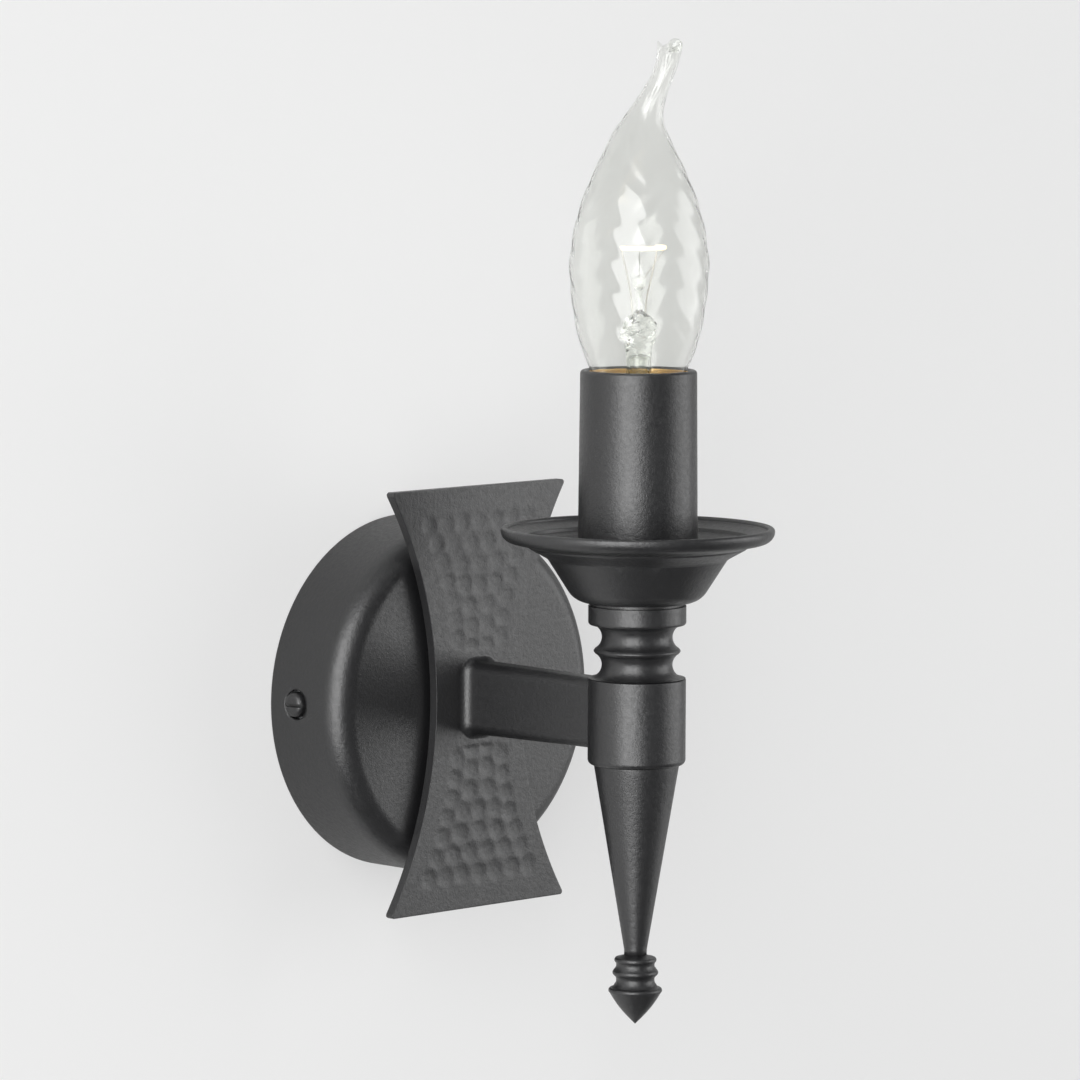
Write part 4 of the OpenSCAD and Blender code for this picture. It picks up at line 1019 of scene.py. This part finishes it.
def makeBead(g, b):
    # the drop of glass where the tube was melted off: r = radius cos, z = radius sin, a little flattened
    a = np.linspace(-np.pi / 2, np.pi / 2, 33)
    profile = b["radius"] * np.stack([np.cos(a), b["flatness"] * np.sin(a)], -1)
    profile[[0, -1], 0] = 0
    place = (g["lean"] + b["sideways"]) * np.array(b["way"]) + np.array([0, -reach])
    height = (g["glassFoot"] + g["glassHeight"] - b["belowTop"]) * mm
    return revolvedSolid("tipBead", profile, 48, centre=tuple(place * mm), height=height)


dress(makeBead(lamp, tipBead), stemGlass, "lamp")

stem = {
    "foot": 70.1,
    # height, radius across, radius along
    "rows": [(0, 5.8, 5.8), (3.5, 4.1, 4.1), (7, 3.15, 3.15), (19, 3.15, 3.15), (22, 3.6, 3.1), (24.6, 4.9, 2.9),
             (26.8, 5.3, 2.7), (28.9, 4.9, 2.3), (30.3, 3.4, 1.8), (31.2, 1.5, 1.2), (32, 0.85, 0.85),
             (36.6, 0.8, 0.8), (37.3, 1.2, 1.2), (38.2, 1.7, 1.7), (39.2, 1.75, 1.75), (40.1, 1.1, 1.1),
             (40.5, 0.1, 0.1)],
    "hollowTo": 21.0,
    "wall": 0.85,
    "pinchAt": 26.5,
    "pinchSpan": 3.4,
    "domeSpan": 1.6,
}


def makeStem(d):
    # a flared tube pinched flat at its top: x = rx cos, y = ry sin with rx and ry eased between the rows,
    # and the pinch is lumpy: its radii swell by sines of the angle and the height
    sides = 96
    rows = np.array(d["rows"], float)

    def skin(z, inset):
        rx = smoothCurve(rows[:, 0], rows[:, 1], z)[:, None] - inset
        ry = smoothCurve(rows[:, 0], rows[:, 2], z)[:, None] - inset
        a = np.linspace(0, 2 * np.pi, sides, endpoint=False)[None, :]
        pinch = np.exp(-((z[:, None] - d["pinchAt"]) / d["pinchSpan"]) ** 2)
        lump = 1 + pinch * (0.10 * np.sin(3 * a + 1.7 * z[:, None]) + 0.07 * np.sin(5 * a - 2.3 * z[:, None] + 1)
                            + 0.05 * np.sin(8 * a + 3.1 * z[:, None]))
        return np.stack([rx * lump * np.cos(a), ry * lump * np.sin(a) - reach, d["foot"] + z[:, None] + 0 * a], -1)

    outZ = np.concatenate([np.linspace(0, 20, 40, endpoint=False), np.linspace(20, 40.5, 120)])
    inZ = np.linspace(0, d["hollowTo"], 60)
    outer, inner = skin(outZ, 0), skin(inZ, d["wall"])
    over = np.clip((inZ - d["hollowTo"] + d["domeSpan"]) / d["domeSpan"], 0, 0.9995)
    shrink = np.sqrt(1 - over ** 2)[:, None, None]
    centre, flat = np.array([0, -reach, 0]), np.array([1, 1, 0])
    inner = inner * (1 - flat) + (centre + (inner - centre) * shrink) * flat
    tip, cave = [0, -reach, d["foot"] + 40.55], [0, -reach, d["foot"] + d["hollowTo"] + 0.02]
    return hollowMesh("stemPress", outer, inner, tip, cave)


dress(makeStem(stem), stemGlass, "lamp", ["bulb_stem"])

filament = {
    "height": 117.4,
    "hoop": 6.2,
    "coilRadius": 0.5,
    "wire": 0.1,
    "turns": 64,
}


def makeFilament(f):
    # a fine coil along a half circle: the centre line is hoop (cos s, sin s), and the wire circles it
    # with coil radius as it goes
    samples = f["turns"] * 10       # ten points for each turn
    s = np.linspace(np.pi, 2 * np.pi, samples)
    w = np.linspace(0, 2 * np.pi * f["turns"], samples)
    r = f["hoop"] + f["coilRadius"] * np.cos(w)
    path = np.stack([r * np.cos(s), r * np.sin(s) - reach, f["height"] + f["coilRadius"] * np.sin(w)], -1)
    return tubeMesh("filamentCoil", path, f["wire"], 6, [0, 0, 1.0])


dress(makeFilament(filament), filamentGlow, "lamp", ["bulb_filament"])

wires = {
    "leadRadius": 0.2,
    "supportRadius": 0.09,
    "footOut": 2.2,
    "footHeight": 99.6,
}


def makeWires(w, f):
    # two leads that bow outward on their way up from the press to the ends of the filament, and two finer
    # supports from the button to loops under it; each is a tube along its own route
    y, top, foot, out = -reach, f["height"] - 0.15, w["footHeight"], w["footOut"]
    routes = []
    for s in (-1, 1):
        routes.append(([(s * out, y, foot), (s * (out + 0.5), y, foot + 5), (s * (out + 2.2), y - 0.2, foot + 11),
                        (s * (f["hoop"] - 0.35), y - 0.1, top - 2.2), (s * f["hoop"], y, top - 0.25)],
                       w["leadRadius"]))
    for angle in (-45, -135):
        c, q = math.cos(math.radians(angle)), math.sin(math.radians(angle))
        steps = [(1.2, 109.8), (3, 112.2), (4.9, 115), (f["hoop"], top - 0.3)]
        routes.append(([(c * far, y + q * far, z) for far, z in steps], w["supportRadius"]))
    for k, (route, radius) in enumerate(routes):
        dress(tubeAlong("lampWire%d" % k, route, radius, 10), metal["nickelWire"], "lamp",
              ["bulb_wires"])


makeWires(wires, filament)
print("lamp blown")


# leads

leads = {
    "radius": 1.1,
    "apart": 1.25,
    "base": 32.4,
    "terminal": 4.6,
    "clampTop": 39.1,
}


def supplyRoute(s, d):
    # from the terminal block up and over into the arm, along it, up the torch and out to the holder's clamp
    y, b, x = -reach, d["base"], s * d["apart"]
    return [(s * 5.5, -6.2, 1.2), (s * 5.5, -6.2, 6.5), (s * 5.2, -6.6, 10), (s * 4.5, -8.8, 13.2),
            (s * 3.6, -12.6, 14.2), (s * 2.8, -15.6, 12.6), (s * 2.2, -17.3, 8.6), (s * 1.6, -18.6, 4.2),
            (s * 1.3, -21.2, 1.2), (x, -25, 0.2), (x, -30, 0), (x, -44, 0), (x, -58, -0.2), (x, 10 + y, -0.8),
            (x, 5 + y, -1.1), (x, 2 + y, 0), (x, 0.4 + y, 2.4), (x, y, 6), (x, y, 16), (x, y, b - 3),
            (s * 1.5, y, b + 0.6), (s * 2.5, y, b + 3), (s * 3.7, y, b + 4.6), (s * 4.4, y, b + 5.6),
            (s * d["terminal"], y, d["clampTop"])]


# from the tag on the bracket to the tag on the canopy
earthRoute = [(-17, -3.2, -4.4), (-17, -3.2, -9.4), (-17.4, -6.4, -12.6), (-18.6, -10.5, -13.6),
              (-19.8, -14.4, -11.8), (-20.8, -17.4, -7.6), (-21.5, -19.8, -5.2), (-22, -22.8, -6.4),
              (-22, -22.6, -9.2), (-22, -22.6, -13.6)]
for name, route, finish, slot, node in [
        ("liveLead", supplyRoute(1, leads), plastic["brownLead"], "brown_insulation", "live_lead"),
        ("neutralLead", supplyRoute(-1, leads), plastic["blueLead"], "blue_insulation", "neutral_lead"),
        ("earthBond", earthRoute, earthLead, "earth_insulation", "earth_lead")]:
    dress(tubeAlong(name, route, leads["radius"]), finish, "fixture", [node])
print("leads drawn")


# finishes of the pieces that stay as they are

keptFinish = [
    (graphiteCoat, ["side_screws", "cup_washer"]),
    (metal["zincSteel"], ["wall_bracket", "arm_screws", "lock_nut", "holder_screws", "terminal_screws",
                          "block_screw", "earth_stud", "earth_nut", "earth_screw"]),
    (metal["plainBrass"], ["holder_shell", "holder_contact", "holder_terminals", "centre_tube",
                           "terminal_tubes", "earth_tags"]),
    (metal["capBrass"], ["bulb_cap"]),
    (metal["solderGrey"], ["bulb_contact"]),
    (plastic["phenolic"], ["holder_base", "holder_barrel"]),
    (plastic["spacerBlack"], ["plate_spacer"]),
    (plastic["vitriteBlack"], ["bulb_insulator"]),
    (plastic["naturalNylon"], ["terminal_block"]),
]
for finish, nodeNames in keptFinish:
    for nodeName in nodeNames:
        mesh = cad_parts[nodeName].data
        mesh.materials.clear()
        mesh.materials.append(finish)
print("finishes laid on the other pieces")


# stage: wall, floor, lamps, world and camera

stage = {
    "wallColour": (0.8, 0.8, 0.795),
    "floorColour": (0.5, 0.5, 0.5),
    "seenColour": (1.0, 1.0, 1.0),
    "seenShare": 0.5,
    "size": 3.5,
    "floorLevel": -2.6,
    "wallHole": 0.0447,             # just inside the canopy's hem
    "lampAim": (0, -0.06, 0.04),
    # azimuth, elevation, distance, width, height, brightness
    "lamps": {
        "softKey": (-63, 8, 1.3, 1.05, 1.9, 3.7),
        "softSide": (51, 6, 1.3, 1.1, 1.0, 1.78),
        "softLow": (74, -24, 1.3, 0.6, 0.8, 0.5),
        "softTop": (-10, 70, 1.4, 1.0, 0.7, 0.35),
    },
    "fillColour": (0.92, 0.93, 0.94),
    "fillPower": 0.2,
    "farColour": (0.83, 0.83, 0.83),
}


def stageMaterial(name, s, colour):
    # a pale matt face, half of it an even tone for the camera and through glass, so that it stays pale to
    # the edges and still takes the shadow; from behind it lets the camera through
    material, tree, shader = newMaterial(name)
    shader.inputs["Roughness"].default_value = 0.9
    cloud = noiseOn(tree, objectPattern(tree), 3, 3)
    tree.links.new(rampOn(tree, cloud, [(0.3, tuple(0.985 * c for c in colour)), (0.7, colour)]),
                   shader.inputs["Base Color"])
    even = tree.nodes.new("ShaderNodeEmission")
    even.inputs["Color"].default_value = (*s["seenColour"], 1)
    even.inputs["Strength"].default_value = 1
    tone = mixOn(tree, mathOn(tree, "MULTIPLY", seenOn(tree), s["seenShare"]), shader.outputs[0], even.outputs[0])
    face = tree.nodes.new("ShaderNodeNewGeometry")
    whole = mixOn(tree, face.outputs["Backfacing"], tone, clearOn(tree))
    tree.links.new(whole, tree.nodes["Material Output"].inputs["Surface"])
    return material


def makeRoom(s):
    # a ring of wall round the canopy, x = r cos(a), z = r sin(a), open in the middle so that light still
    # reaches the canopy from behind, and a square of floor far below
    sides, size = 96, s["size"]
    a = np.linspace(0, 2 * np.pi, sides, endpoint=False)
    rings = np.array([s["wallHole"], 0.12, 0.5, size])[:, None]
    points = np.stack([rings * np.cos(a), 0.0002 + 0 * rings * a, rings * np.sin(a)], -1)
    wall = putMesh("wallStage", points.reshape(-1, 3), gridQuads(4, sides)[:, ::-1])
    wall.data.materials.append(stageMaterial("wallPaint", s, s["wallColour"]))
    low = s["floorLevel"]
    floor = putMesh("floorStage", [[-size, -size, low], [size, -size, low], [size, 0, low], [-size, 0, low]],
                    [[0, 1, 2, 3]])
    floor.data.materials.append(stageMaterial("floorPaint", s, s["floorColour"]))


def outward(azimuth, elevation):
    # the direction from the wall light to a point at these angles, in degrees from straight ahead
    a, e = math.radians(azimuth), math.radians(elevation)
    return Vector((math.sin(a) * math.cos(e), -math.cos(a) * math.cos(e), math.sin(e)))


def areaLamp(s, name):
    # a soft lamp on a sphere round the torch, aimed at it; its power is brightness times area times pi
    azimuth, elevation, distance, width, height, brightness = s["lamps"][name]
    data = bpy.data.lights.new(name, "AREA")
    data.shape = "RECTANGLE"
    data.size, data.size_y = width, height
    data.energy = brightness * width * height * math.pi
    item = bpy.data.objects.new(name, data)
    back = outward(azimuth, elevation)
    item.location = Vector(s["lampAim"]) + back * distance
    item.rotation_mode = "QUATERNION"
    item.rotation_quaternion = back.to_track_quat("Z", "Y")
    bpy.context.scene.collection.objects.link(item)


def makeWorld(s):
    # an even dim fill, and a pale tone where the camera looks past the wall
    world = bpy.data.worlds.new("room")
    bpy.context.scene.world = world
    world.use_nodes = True
    tree = world.node_tree
    fill, beyond = tree.nodes["Background"], tree.nodes.new("ShaderNodeBackground")
    for node, colour, strength in ((fill, s["fillColour"], s["fillPower"]), (beyond, s["farColour"], 1)):
        node.inputs["Color"].default_value = (*colour, 1)
        node.inputs["Strength"].default_value = strength
    tree.links.new(mixOn(tree, seenOn(tree), fill.outputs[0], beyond.outputs[0]),
                   tree.nodes["World Output"].inputs["Surface"])


makeRoom(stage)
for name in stage["lamps"]:
    areaLamp(stage, name)
makeWorld(stage)

camera = {
    "azimuth": -44.722,
    "elevation": 5.596,
    "roll": 0.229,
    "focalPixels": 6100,
    "distance": 1.5843,
    "originPixel": (401.2, 689.07),
    "originDrop": 0.6,
}


def placeCamera(c):
    # pinhole camera: axes from azimuth, elevation and roll, and a centre that puts the canopy's middle on
    # its pixel of a 1080 by 1080 picture at the given distance
    azimuth, roll = math.radians(c["azimuth"]), math.radians(c["roll"])
    back = outward(c["azimuth"], c["elevation"])
    level = Vector((math.cos(azimuth), math.sin(azimuth), 0))
    upright = back.cross(level)
    right = math.cos(roll) * level + math.sin(roll) * upright
    up = -math.sin(roll) * level + math.cos(roll) * upright
    x, y = [(pixel - 540) / c["focalPixels"] * c["distance"] for pixel in c["originPixel"]]
    centre = -x * right + y * up + c["distance"] * back - Vector((0, 0, c["originDrop"] * mm))
    data = bpy.data.cameras.new("camera")
    data.sensor_width = 36
    data.lens = data.sensor_width * c["focalPixels"] / 1080
    data.clip_start, data.clip_end = 0.1, 30
    item = bpy.data.objects.new("camera", data)
    item.matrix_world = Matrix([(*column, 0) for column in (right, up, back)] + [(*centre, 1)]).transposed()
    bpy.context.scene.collection.objects.link(item)
    bpy.context.scene.camera = item


placeCamera(camera)
bpy.context.scene.view_settings.view_transform = "Standard"
print("stage lit")
